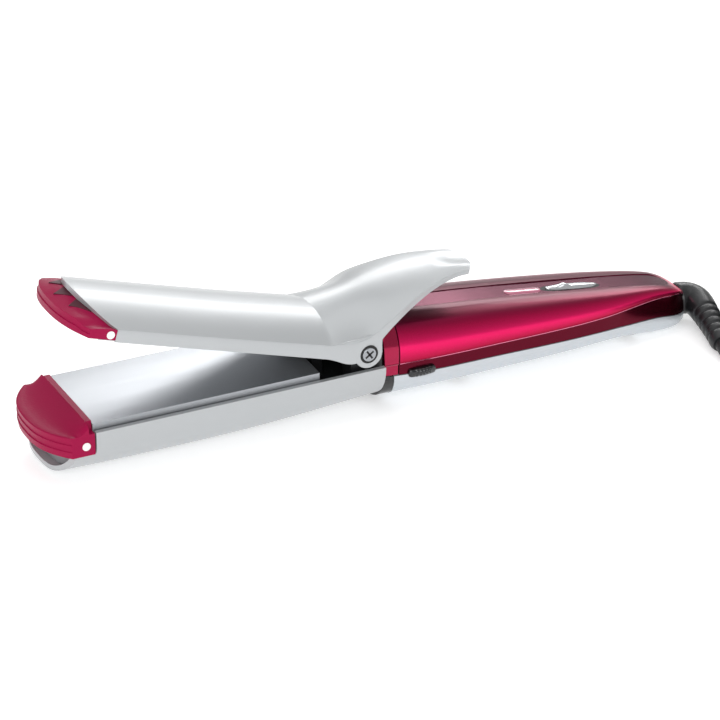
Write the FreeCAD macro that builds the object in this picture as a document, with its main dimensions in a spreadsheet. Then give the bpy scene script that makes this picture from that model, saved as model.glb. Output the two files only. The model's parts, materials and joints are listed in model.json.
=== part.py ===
"""Hair styling tongs with two long flat plates, a thumb lever and a swivel mains lead.

Everything is measured from the jaw hinge: X runs towards the handle and the cord, Y across
the plates, Z up. The last step moves the pieces so that the origin is under the middle of
the tongs, on the surface they rest on. Upper arm pieces are drawn closed and then turned
about the hinge by open_angle, which is where the spring holds them.
"""
import FreeCAD, Part
import math
import os
import Sketcher
from FreeCAD import Placement, Rotation, Vector

doc = FreeCAD.newDocument("HairCrimper")

# ---------------------------------------------------------------- driving dimensions
DRIVING = [
    # overall
    ("arm_reach", 126.7), ("handle_reach", 150.5), ("hinge_height", 28.0),
    ("open_angle", 16.94), ("arm_width", 48.0), ("handle_width", 41.6),
    # fits and walls
    ("wall", 2.0), ("gap", 0.3), ("running", 0.05), ("plate_clear", 0.5),
    # lower arm
    ("rim_drop", 7.2), ("trough_drop", 26.0), ("trough_corner", 14.0), ("chin_setback", 2.7),
    ("shell_rear", 7.2), ("waist_rise", 3.4),
    # plates
    ("plate_front", 110.8), ("plate_rear", 19.5), ("plate_drop", 4.5), ("plate_depth", 5.0),
    ("plate_skin", 2.5), ("plate_crown", 0.9), ("jaw_gap", 0.6),
    ("heater_length", 70.0), ("heater_width", 13.0), ("heater_thick", 2.6),
    # tips
    ("tip_sagitta", 7.1), ("tip_drop", 7.2), ("tip_band", 8.5), ("rivet_dia", 3.2),
    ("upper_reach", 123.0), ("upper_band", 5.2), ("lug_length", 9.2),
    # upper arm
    ("shell_drop", 3.4), ("crease_rise", 1.8), ("crown_rise", 6.6), ("shell_front", 104.0),
    ("crown_sagitta", 13.0), ("lever_reach", 46.0), ("lever_rise", 35.2),
    ("lever_end_width", 20.0), ("lever_edge", 3.4),
    # hinge
    ("ear_radius", 5.6), ("ear_thick", 3.8), ("pin_dia", 5.0), ("bush_wall", 0.7),
    ("screw_head_dia", 6.6), ("screw_head_thick", 1.5), ("screw_dia", 3.0),
    ("cheek_thick", 7.0), ("spring_wire", 1.2), ("spring_dia", 8.4), ("spring_pitch", 1.7),
    ("spring_turns", 5.0), ("spring_leg", 13.0), ("knob_stem", 4.0),
    # handle
    ("collar_front", 8.0), ("collar_rear", 14.5), ("band_rear", 10.7),
    ("strip_width", 11.0), ("control_side", 1.5), ("strip_thick", 1.0), ("strip_front", 17.0), ("strip_end", 146.0),
    ("lens_front", 70.2), ("lens_length", 16.2), ("lens_width", 5.0),
    ("knob_front", 88.9), ("knob_length", 23.2), ("knob_width", 5.0), ("knob_travel", 2.0),
    ("lock_front", 18.6), ("lock_length", 11.4), ("lock_height", 3.6), ("lock_level", 13.9),
    ("lock_travel", 3.5),
    ("board_front", 64.0), ("board_length", 54.0), ("board_width", 14.5), ("board_thick", 1.6),
    ("board_drop", 14.0), ("boss_dia", 6.4), ("screw_front", 46.0), ("screw_rear", 124.0),
    ("screw_spread", 20.0),
    # swivel and cord
    ("swivel_drop", 19.05), ("swivel_dia", 9.0), ("socket_length", 9.5), ("relief_gap", 0.4),
    ("relief_dia", 13.4), ("relief_end_dia", 9.0),
    ("cord_dia", 6.0), ("coil_radius", 33.0), ("tie_thick", 0.8), ("tie_width", 8.0),
    ("plug_width", 35.0), ("plug_thick", 14.0), ("plug_length", 34.0), ("pin_length", 19.0),
    ("pin_spread", 18.6), ("mains_pin_dia", 4.0),
]


class Size:
    """A dimension that knows its number and the spreadsheet expression behind it."""

    def __init__(self, number, text):
        self.number, self.text = float(number), text

    def __float__(self):
        return self.number

    def __add__(self, other):
        return Size(self.number + float(other), "(%s + %s)" % (self.text, as_text(other)))

    def __sub__(self, other):
        return Size(self.number - float(other), "(%s - %s)" % (self.text, as_text(other)))

    def __mul__(self, other):
        return Size(self.number * float(other), "(%s * %s)" % (self.text, as_text(other)))

    def __truediv__(self, other):
        return Size(self.number / float(other), "(%s / %s)" % (self.text, as_text(other)))

    def __neg__(self):
        return Size(-self.number, "(-%s)" % self.text)

    def __radd__(self, other):
        return Size(float(other), repr(float(other))) + self

    def __rsub__(self, other):
        return Size(float(other), repr(float(other))) - self

    def __rmul__(self, other):
        return self * other


def as_text(value):
    return value.text if isinstance(value, Size) else repr(float(value))


sheet = doc.addObject("Spreadsheet::Sheet", "Sizes")
for row, (alias, number) in enumerate(DRIVING, start=1):
    sheet.set("A%d" % row, alias)
    sheet.set("B%d" % row, repr(number))
    sheet.setAlias("B%d" % row, alias)
doc.recompute()


class Sizes:
    """S.wall and its like: each driving dimension as a Size."""


S = Sizes()
for alias, number in DRIVING:
    setattr(S, alias, Size(sheet.get(alias), "Sizes." + alias))


# ---------------------------------------------------------------- ways of making things
def bind(thing, **places):
    """Sets each property, with __ for a dot, to a Size's expression or to a plain number."""
    for name, value in places.items():
        thing.setExpression(name.replace("__", "."), as_text(value))
    return thing


def place(thing, x=0, y=0, z=0):
    return bind(thing, Placement__Base__x=x, Placement__Base__y=y, Placement__Base__z=z)


def block(name, x, y, z):
    """A box between the (low, high) pairs x, y and z."""
    box = doc.addObject("Part::Box", name)
    bind(box, Length=x[1] - x[0], Width=y[1] - y[0], Height=z[1] - z[0])
    return place(box, x[0], y[0], z[0])


def rod(name, radius, start, length, along="z"):
    """A cylinder from start (x, y, z), running along +X, +Y or +Z."""
    cylinder = doc.addObject("Part::Cylinder", name)
    turn = {"x": (Vector(0, 1, 0), 90), "y": (Vector(1, 0, 0), -90), "z": (Vector(0, 0, 1), 0)}
    cylinder.Placement = Placement(Vector(), Rotation(*turn[along]))
    bind(cylinder, Radius=radius, Height=length)
    return place(cylinder, *start)


def solid(name, shape):
    feature = doc.addObject("Part::Feature", name)
    feature.Shape = shape
    return feature


def group(name, things):
    compound = doc.addObject("Part::Compound", name)
    compound.Links = things
    return compound


def boolean(kind, name, base, tools):
    result = doc.addObject(kind, name)
    result.Base = base
    result.Tool = tools[0] if len(tools) == 1 else group(name + "_tools", tools)
    return result


def cut(name, base, *tools):
    return boolean("Part::Cut", name, base, tools)


def common(name, base, *tools):
    return boolean("Part::Common", name, base, tools)


def fuse(name, *things):
    result = doc.addObject("Part::MultiFuse", name)
    result.Shapes = list(things)
    return result


def body(name):
    return doc.addObject("PartDesign::Body", name)


def sketch(owner, name, plane, corners, arcs=None, level=0):
    """A closed outline on one of the body's planes, anticlockwise, each corner held by the sheet.

    arcs maps the number of an edge to its rise, positive outwards. level moves the sketch
    along the plane's normal.
    """
    outline = owner.newObject("Sketcher::SketchObject", name)
    base = next(f for f in owner.Origin.OriginFeatures if f.Role == plane)
    outline.AttachmentSupport = [(base, "")]
    outline.MapMode = "FlatFace"
    bind(outline, AttachmentOffset__Base__z=level)
    points = [Vector(float(u), float(v), 0) for u, v in corners]
    count = len(points)
    flipped = []
    for edge in range(count):
        here, there = points[edge], points[(edge + 1) % count]
        rise = (arcs or {}).get(edge)
        flipped.append(rise is not None and float(rise) < 0)
        if rise is None:
            outline.addGeometry(Part.LineSegment(here, there), False)
            continue
        chord = there - here
        height = abs(float(rise))
        radius = (chord.Length ** 2 / 4 + height ** 2) / (2 * height)
        inward = Vector(-chord.y, chord.x, 0).normalize() * (radius - height)
        centre = (here + there) / 2 + (-inward if flipped[-1] else inward)
        first, last = (there, here) if flipped[-1] else (here, there)
        ends = [math.atan2(p.y - centre.y, p.x - centre.x) for p in (first, last)]
        circle = Part.Circle(centre, Vector(0, 0, 1), radius)
        if ends[1] < ends[0]:
            ends[1] += 2 * math.pi
        outline.addGeometry(Part.ArcOfCircle(circle, *ends), False)
    for edge in range(count):
        follower = (edge + 1) % count
        end, start = (1 if flipped[edge] else 2), (2 if flipped[follower] else 1)
        outline.addConstraint(Sketcher.Constraint("Coincident", edge, end, follower, start))
    for edge, (u, v) in enumerate(corners):
        start = 2 if flipped[edge] else 1
        for kind, value in (("DistanceX", u), ("DistanceY", v)):
            rule = Sketcher.Constraint(kind, -1, 1, edge, start, float(value))
            bind(outline, **{"Constraints[%d]" % outline.addConstraint(rule): value})
    for edge, rise in (arcs or {}).items():
        u, v = [corners[(edge + 1) % count][k] - corners[edge][k] for k in (0, 1)]
        radius = ((u * u + v * v) / 4 + rise * rise) / (rise * (-2 if flipped[edge] else 2))
        rule = Sketcher.Constraint("Radius", edge, float(radius))
        bind(outline, **{"Constraints[%d]" % outline.addConstraint(rule): radius})
    return outline


def pad(owner, profile, length, both_ways=False):
    feature = owner.newObject("PartDesign::Pad", profile.Name + "_pad")
    feature.Profile = profile
    feature.Midplane = both_ways
    return bind(feature, Length=length)


def pocket(owner, profile, length, both_ways=False, reverse=False):
    feature = owner.newObject("PartDesign::Pocket", profile.Name + "_cut")
    feature.Profile = profile
    feature.Midplane = both_ways
    feature.Reversed = reverse
    return bind(feature, Length=length)


def path_wire(points, radii):
    """Straight runs between points, joined by tangent arcs of the given radii."""
    edges, here = [], points[0]
    for before, corner, after, radius in zip(points, points[1:], points[2:], radii):
        back, ahead = (before - corner).normalize(), (after - corner).normalize()
        turn = math.pi - back.getAngle(ahead)
        setback = radius * math.tan(turn / 2)
        start, end = corner + back * setback, corner + ahead * setback
        middle = corner + (back + ahead).normalize() * (radius / math.cos(turn / 2) - radius)
        edges += [Part.LineSegment(here, start).toShape(), Part.Arc(start, middle, end).toShape()]
        here = end
    edges.append(Part.LineSegment(here, points[-1]).toShape())
    return Part.Wire(edges)


def tube(points, radii, radius):
    """A round bar swept along path_wire."""
    wire = path_wire(points, radii)
    ring = Part.Wire(Part.Circle(points[0], points[1] - points[0], radius).toShape())
    return wire.makePipeShell([ring], True, True), wire.Length


def smoothed(stations, pieces=3):
    """The stations with more between them, on a smooth line through each of their values."""
    def slope(k, column):
        first, last = stations[max(k - 1, 0)], stations[min(k + 1, len(stations) - 1)]
        return (last[column] - first[column]) / (last[0] - first[0])

    line = []
    for k, (here, there) in enumerate(zip(stations, stations[1:])):
        span = there[0] - here[0]
        for step in range(pieces):
            u = step / pieces
            values = [here[0] + u * span]
            for column in range(1, len(here)):
                start, end = slope(k, column) * span, slope(k + 1, column) * span
                values.append((2 * u ** 3 - 3 * u ** 2 + 1) * here[column] + (u ** 3 - 2 * u ** 2 + u) * start
                              + (3 * u ** 2 - 2 * u ** 3) * there[column] + (u ** 3 - u ** 2) * end)
            line.append(tuple(values))
    return line + [stations[-1]]


def loft(wires):
    return Part.makeLoft(wires, True, True)


PIECES = []


def finish(thing, label, moved="root"):
    """Names a sub-part and puts it in the row frame; arm pieces are also opened."""
    thing.Label = label
    if moved == "arm":
        thing.Placement = Placement(Vector(), Rotation(Vector(0, 1, 0), float(S.open_angle)))
        bind(thing, Placement__Rotation__Angle=S.open_angle)
    place(thing, (S.arm_reach - S.handle_reach) / 2, 0, S.hinge_height)
    PIECES.append(thing)


# ---------------------------------------------------------------- places that pieces share
half_arm = S.arm_width / 2
inner_half = half_arm - S.wall
plate_half = inner_half - S.plate_clear
plate_top = -S.plate_drop
plate_foot = plate_top - S.plate_depth
plate_ceiling = plate_top - S.plate_skin
rail_half = S.heater_width / 2 + S.gap
rail_outer = rail_half + 1.5
clip_thick = 0.8
lower_rail_foot = plate_ceiling - S.heater_thick - clip_thick
upper_floor = plate_top + S.jaw_gap + S.plate_skin + S.plate_crown
upper_rail_head = upper_floor + S.heater_thick + clip_thick
boss_inner = half_arm - S.ear_thick
cheek_outer = boss_inner - S.gap
cheek_inner = cheek_outer - S.cheek_thick
lower_chord = -(S.arm_reach - S.tip_sagitta)
lug_rear = lower_chord + S.lug_length


# ---------------------------------------------------------------- lower arm shell
def trough_section(x, inset, drop, top):
    """A flat-sided gutter across the arm, with round lower corners."""
    half, low = float(half_arm) - inset, -drop + inset
    corner = float(S.trough_corner) - inset
    spread = corner * (1 - math.sqrt(0.5))
    points = [Vector(x, y, z) for y, z in (
        (-half, top), (-half, low + corner), (-half + spread, low + spread),
        (-half + corner, low), (half - corner, low), (half - spread, low + spread),
        (half, low + corner), (half, top))]
    edges = [Part.LineSegment(points[0], points[1]).toShape(),
             Part.Arc(*points[1:4]).toShape(),
             Part.LineSegment(points[3], points[4]).toShape(),
             Part.Arc(*points[4:7]).toShape(),
             Part.LineSegment(points[6], points[7]).toShape(),
             Part.LineSegment(points[7], points[0]).toShape()]
    return Part.Wire(edges)


TROUGH_OVERRUN = 3.0
rim = -float(S.rim_drop)


def trough(inset, overrun=2 * TROUGH_OVERRUN, top=rim + TROUGH_OVERRUN):
    """The gutter from the chin to the hinge, rising to a waist at its rear end."""
    drop, rear = float(S.trough_drop), float(S.shell_rear)
    stations = [(-float(S.arm_reach) - overrun, drop - 0.8), (-0.75 * float(S.arm_reach), drop),
                (-0.35 * float(S.arm_reach), drop - 0.3),
                (rear + overrun, drop - float(S.waist_rise))]
    return loft([trough_section(x, inset, level, top) for x, level in smoothed(stations, 2)])


def front_plan(name, reach, chord, low, high, rear):
    """A prism with a bowed front: reach ahead of the hinge in the middle, chord at the sides."""
    owner = body(name)
    edge = [(rear, -half_arm), (rear, half_arm), (-chord, half_arm), (-chord, -half_arm)]
    pad(owner, sketch(owner, name + "_plan", "XY_Plane", edge, {2: reach - chord}, low), high - low)
    return owner


def make_lower_arm_shell():
    gutter = cut("gutter", solid("gutter_outer", trough(0, TROUGH_OVERRUN, rim)),
                 solid("gutter_inner", trough(float(S.wall))))
    chin_reach = S.arm_reach - S.chin_setback
    plan = front_plan("chin_plan", chin_reach, chin_reach - S.tip_sagitta,
                      -S.trough_drop - 1, -S.rim_drop, S.shell_rear)
    trimmed = common("gutter_trimmed", gutter, plan)
    notch = block("lug_notch", (-S.arm_reach, lug_rear), (-S.arm_width, S.arm_width),
                  (-S.tip_drop - S.tip_band - S.gap / 2, -S.rim_drop + 1))
    shell = cut("lower_arm_shell", trimmed, notch)
    finish(shell, "lower_arm_shell")


# ---------------------------------------------------------------- plates and heaters
def make_lower_plate():
    owner = body("lower_plate_body")
    foot, ceiling = plate_foot, plate_ceiling
    rail, leg = rail_outer, plate_half - S.wall
    rail_foot = lower_rail_foot
    corners = [(-plate_half, foot), (-leg, foot), (-leg, ceiling), (-rail, ceiling),
               (-rail, rail_foot), (-rail_half, rail_foot), (-rail_half, ceiling),
               (rail_half, ceiling), (rail_half, rail_foot), (rail, rail_foot),
               (rail, ceiling), (leg, ceiling), (leg, foot), (plate_half, foot),
               (plate_half, plate_top), (-plate_half, plate_top)]
    profile = sketch(owner, "lower_plate_profile", "YZ_Plane", corners, {14: S.plate_crown},
                     -S.plate_front)
    pad(owner, profile, S.plate_front - S.plate_rear)
    finish(owner, "lower_plate")


def make_upper_plate():
    """Hollowed underneath to match the crown of the lower plate, with jaw_gap between them."""
    owner = body("upper_plate_body")
    low = plate_top + S.jaw_gap
    floor = upper_floor
    head = low + S.plate_depth
    rail, leg = rail_outer, plate_half - S.wall
    rail_head = upper_rail_head
    corners = [(-plate_half, low), (plate_half, low), (plate_half, head), (leg, head),
               (leg, floor), (rail, floor), (rail, rail_head), (rail_half, rail_head),
               (rail_half, floor), (-rail_half, floor), (-rail_half, rail_head),
               (-rail, rail_head), (-rail, floor), (-leg, floor), (-leg, head),
               (-plate_half, head)]
    profile = sketch(owner, "upper_plate_profile", "YZ_Plane", corners, {0: -S.plate_crown},
                     -S.plate_front)
    pad(owner, profile, S.plate_front - S.plate_rear)
    finish(owner, "upper_plate", "arm")


heater_front = -(S.plate_front + S.plate_rear) / 2 - S.heater_length / 2
heater_span = (heater_front, heater_front + S.heater_length)
heater_half = S.heater_width / 2
clip_span = (heater_front + 6, heater_front + S.heater_length - 6)


def make_heaters():
    """A flat heating bar against each plate, held there by a sprung steel strip."""
    lower_seat = plate_ceiling - S.heater_thick
    upper_seat = upper_floor + S.heater_thick
    across = (-heater_half, heater_half)
    finish(group("lower_heater_set", [block("lower_bar", heater_span, across,
                                            (lower_seat, plate_ceiling))]), "lower_heater")
    finish(group("upper_heater_set", [block("upper_bar", heater_span, across,
                                            (upper_floor, upper_seat))]), "upper_heater", "arm")
    finish(group("lower_clip_set", [block("lower_strip", clip_span, (-heater_half + 1, heater_half - 1),
                                          (lower_seat - clip_thick, lower_seat))]), "lower_heater_clip")
    finish(group("upper_clip_set", [block("upper_strip", clip_span, (-heater_half + 1, heater_half - 1),
                                          (upper_seat, upper_seat + clip_thick))]), "upper_heater_clip", "arm")


def make_fuse():
    """The thermal cut-out lies along the lower heater's rail, in its ceramic sleeve."""
    along = rod("fuse_sleeve", 1.9, (heater_front + 20, rail_outer + 2.0, plate_ceiling - 1.9),
                16, "x")
    tail = rod("fuse_tail", 0.6, (heater_front + 12, rail_outer + 2.0, plate_ceiling - 1.9),
               32, "x")
    finish(fuse("fuse_set", along, tail), "thermal_fuse")


tray_front, tray_rear = -S.plate_front + 1.2, -S.plate_rear - 0.5
tray_floor = plate_foot - 5.5
wire_level = tray_floor - S.wall / 2
wire_half = 6.0


def make_lower_tray():
    """A black heat-proof tray: it carries the plate's edges on its side walls."""
    outer = block("lower_tray_block", (tray_front, tray_rear), (-inner_half, inner_half),
                  (tray_floor - S.wall, plate_foot))
    hollow = block("lower_tray_hollow", (tray_front + S.wall, tray_rear - S.wall),
                   (-plate_half + S.wall, plate_half - S.wall), (tray_floor, plate_foot + 1))
    rails = block("lower_tray_rails", (tray_front - 1, tray_rear + 1),
                  (-rail_outer - S.gap, rail_outer + S.gap), (lower_rail_foot - S.gap, plate_foot + 1))
    slot = block("lower_tray_slot", (tray_rear - 14, tray_rear + 1), (-wire_half, wire_half),
                 (tray_floor - S.wall - 1, plate_foot + 1))
    space = solid("lower_tray_space", trough(float(S.wall) + float(S.running)))
    finish(cut("lower_tray_cut", common("lower_tray_fit", outer, space), hollow, rails, slot),
           "lower_plate_tray")


def make_upper_tray():
    """The same for the upper plate: a frame that the plate's edges press against from below."""
    head = plate_top + S.jaw_gap + S.plate_depth
    front = tray_front + 6
    ledge = 1.2
    outer = block("upper_tray_block", (front, tray_rear), (-inner_half, inner_half),
                  (head, head + ledge))
    bridges = [block("upper_tray_bridge_" + end, span, (-rail_outer - S.wall, rail_outer + S.wall),
                     (head, upper_rail_head + S.gap + ledge))
               for end, span in (("front", (front, front + S.wall)),
                                 ("rear", (tray_rear - S.wall, tray_rear)))]
    hollow = block("upper_tray_hollow", (front + S.wall, tray_rear - S.wall),
                   (-plate_half + S.wall + 1, plate_half - S.wall - 1), (head - 1, head + 3))
    rails = block("upper_tray_rails", (front - 1, tray_rear + 1),
                  (-rail_outer - S.gap, rail_outer + S.gap), (head - 1, upper_rail_head + S.gap))
    space = arm_loft("upper_tray_space", float(S.wall) + float(S.running), 8)
    whole = fuse("upper_tray_whole", outer, *bridges)
    finish(common("upper_tray_fit", cut("upper_tray_cut", whole, hollow, rails), space),
           "upper_plate_frame", "arm")


# ---------------------------------------------------------------- tips
def rivet_pair(name, x, z, length):
    """Pins through the sides of a tip, their white heads flush with it."""
    return [rod(name + "_left", S.rivet_dia / 2, (x, half_arm - length, z), length, "y"),
            rod(name + "_right", S.rivet_dia / 2, (x, -half_arm, z), length, "y")]


upper_tip_foot = plate_top + S.jaw_gap + S.plate_crown + S.gap
lower_pins = rivet_pair("lower_pin", lug_rear - S.lug_length / 2 + 0.6,
                        -S.tip_drop - S.tip_band / 2 - 0.4, 5)
upper_pins = rivet_pair("upper_pin", -S.upper_reach + S.tip_sagitta + S.lug_length - 1,
                        upper_tip_foot + 1.9, S.wall)


def make_lower_tip():
    """A moulded end cap: bowed band, sloping top, and a lug each side that laps the shell."""
    owner = body("lower_tip_body")
    top = plate_top + S.plate_crown
    foot = -S.tip_drop - S.tip_band
    edge = [(lug_rear, -half_arm), (lug_rear, half_arm), (lower_chord, half_arm),
            (lower_chord, -half_arm)]
    pad(owner, sketch(owner, "lower_tip_plan", "XY_Plane", edge, {2: S.tip_sagitta}, foot), top - foot)
    ahead = -S.arm_reach - 1
    slope = [(ahead, top + 1), (ahead, -S.tip_drop), (-S.arm_reach, -S.tip_drop),
             (-S.plate_front - 3, top), (-S.plate_front - 3, top + 1)]
    pocket(owner, sketch(owner, "lower_tip_slope", "XZ_Plane", slope), S.arm_width + 2, True)
    # the lugs stand lower than the middle, which ends at the plate
    ledge = -S.tip_drop - 2.3
    for name, sign in (("left", 1), ("right", -1)):
        low, high = sorted((sign * (plate_half - 1), sign * (half_arm + 1)), key=float)
        step = [(low, ledge), (high, ledge), (high, top + 1), (low, top + 1)]
        pocket(owner, sketch(owner, "lower_tip_step_" + name, "YZ_Plane", step, level=lower_chord + 1.5),
               S.arm_reach, reverse=True)
    behind = [(-S.plate_front - S.gap / 2, foot - 1), (lug_rear + 1, foot - 1), (lug_rear + 1, top + 1),
              (-S.plate_front - S.gap / 2, top + 1)]
    pocket(owner, sketch(owner, "lower_tip_plate_gap", "XZ_Plane", behind), 2 * inner_half, True)
    finish(cut("lower_tip_bored", owner, *lower_pins), "lower_tip")


def make_upper_tip():
    """The upper end cap: a lower band, and a slope that runs up under the shell's front edge."""
    owner = body("upper_tip_body")
    foot = upper_tip_foot
    chord = -(S.upper_reach - S.tip_sagitta)
    rear = chord + S.lug_length + 5
    top = foot + S.upper_band + 3.2
    edge = [(rear, -half_arm), (rear, half_arm), (chord, half_arm), (chord, -half_arm)]
    pad(owner, sketch(owner, "upper_tip_plan", "XY_Plane", edge, {2: S.tip_sagitta}, foot), top - foot)
    slope = [(-S.upper_reach - 1, foot + S.upper_band), (-S.upper_reach, foot + S.upper_band),
             (-S.plate_front - 1, top), (-S.plate_front - 1, top + 1), (-S.upper_reach - 1, top + 1)]
    pocket(owner, sketch(owner, "upper_tip_slope", "XZ_Plane", slope), S.arm_width + 2, True)
    behind = [(-S.plate_front - S.gap / 2, foot - 1), (rear + 1, foot - 1), (rear + 1, top + 1),
              (-S.plate_front - S.gap / 2, top + 1)]
    pocket(owner, sketch(owner, "upper_tip_plate_gap", "XZ_Plane", behind), 2 * inner_half, True)
    under_shell = cut("upper_tip_cut", owner, arm_skin, *upper_pins)
    teeth = [block("tooth_%d" % k, (-S.plate_front - 5.5, -S.plate_front - 2.2),
                   (y - 0.8, y + 0.8), (foot + S.upper_band, top + 0.5)) for k, y in
             enumerate((-inner_half * 0.5, inner_half * 0.0, inner_half * 0.5))]
    inside = common("teeth_inside", group("teeth", teeth), arm_cavity)
    finish(fuse("upper_tip_whole", under_shell, inside), "upper_tip", "arm")


def make_rivets():
    finish(group("lower_pin_pair", lower_pins), "lower_tip_rivets")
    finish(group("upper_pin_pair", upper_pins), "upper_tip_rivets", "arm")


# ---------------------------------------------------------------- upper arm shell
def arm_section(x, half, low, crease, crown, inset):
    """Upright sides below a crease, and a bowed crown above it."""
    half -= inset
    crown -= inset
    crease -= 0.4 * inset
    rise = crown - crease
    left, right = [Vector(x, side * half, low) for side in (-1, 1)]
    left_crease, right_crease = [Vector(x, side * half, crease) for side in (-1, 1)]
    shoulders = [Vector(x, side * half * 0.55, crease + 0.74 * rise) for side in (-1, 1)]
    bow = Part.BSplineCurve()
    bow.interpolate([left_crease, shoulders[0], Vector(x, 0, crown), shoulders[1], right_crease])
    return Part.Wire([Part.LineSegment(left, left_crease).toShape(), bow.toShape(),
                      Part.LineSegment(right_crease, right).toShape(),
                      Part.LineSegment(right, left).toShape()])


def arm_stations():
    """(x, half width, lower edge, crease, crown) from the front to the lever's end."""
    half, low = float(half_arm), -float(S.shell_drop)
    crease = float(S.crease_rise)
    crown = crease + float(S.crown_rise)
    reach, rise = float(S.lever_reach), float(S.lever_rise)
    end_half, edge = float(S.lever_end_width) / 2, float(S.lever_edge)
    taper = half - end_half
    front = -float(S.upper_reach) - 6
    return [
        (front, half, low, crease - 0.2, crown - 0.2),
        (-0.45 * float(S.upper_reach), half, low, crease, crown + 0.2),
        (-17.0, half, low, crease + 0.5, crown + 1.2),
        (-3.0, half, low, crease + 4.4, crown + 7.6),
        (0.17 * reach, half - 0.10 * taper, 0.32 * rise, 0.45 * rise, 0.61 * rise),
        (0.35 * reach, half - 0.36 * taper, 0.52 * rise, 0.63 * rise, 0.725 * rise),
        (0.55 * reach, half - 0.62 * taper, 0.70 * rise, 0.785 * rise, 0.84 * rise),
        (0.78 * reach, half - 0.86 * taper, rise - 5.6, rise - 3.6, rise - 1.7),
        (reach, end_half, rise - edge, rise - 1.4, rise)]


def arm_loft(name, inset, sink):
    wires = [arm_section(x, half, low - sink, crease, crown, inset)
             for x, half, low, crease, crown in smoothed(arm_stations())]
    return solid(name, loft(wires))


def arm_plan(name):
    """What the shell covers in plan: a bowed front edge and a rounded lever end."""
    owner = body(name)
    front, side = -S.shell_front, half_arm + 1
    corners = [(front, -side), (S.lever_reach - 4, -side), (S.lever_reach - 4, side), (front, side)]
    arcs = {1: Size(3.9, "3.9"), 3: S.crown_sagitta}
    pad(owner, sketch(owner, name + "_outline", "XY_Plane", corners, arcs, Size(-20, "-20")),
        Size(80, "80"))
    return owner


def make_upper_arm_shell():
    bar_reach = S.ear_radius
    ears = []
    for side, (low, high) in (("left", (boss_inner, half_arm)), ("right", (-half_arm, -boss_inner))):
        ears.append(rod("ear_disc_" + side, bar_reach, (0, low, 0), high - low, "y"))
        ears.append(block("ear_web_" + side, (-S.plate_rear + 2, Size(0, "0")), (low, high),
                          (-S.shell_drop - 1.2, S.crease_rise)))
        ears.append(block("ear_stem_" + side, (-S.ear_radius, S.ear_radius - 1.6), (low, high),
                          (Size(0, "0"), S.crease_rise + 5)))
    whole = fuse("upper_arm_whole", arm_skin, *ears)
    counterbore = S.screw_head_dia / 2 + S.gap
    seat = S.screw_head_thick + 0.5
    bush = S.pin_dia / 2 + S.running + S.bush_wall
    holes = [rod("ear_hole", bush, (0, -half_arm - 1, 0), S.arm_width + 2, "y"),
             rod("ear_recess_left", counterbore, (0, half_arm - seat, 0), seat + 1, "y"),
             rod("ear_recess_right", counterbore, (0, -half_arm - 1, 0), seat + 1, "y")]
    catch = block("spring_rib", (-S.spring_leg - 1, -S.spring_leg + 1.5), (-inner_half, inner_half),
                  (S.spring_dia / 2 + S.spring_wire / 2, S.crown_rise + S.crease_rise + 1))
    rib = common("spring_rib_fit", catch, arm_loft("rib_space", float(S.wall) * 0.5, 8))
    finish(cut("upper_arm_holed", fuse("upper_arm_ribbed", whole, rib), *holes, *upper_pins),
           "upper_arm_shell", "arm")


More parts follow.
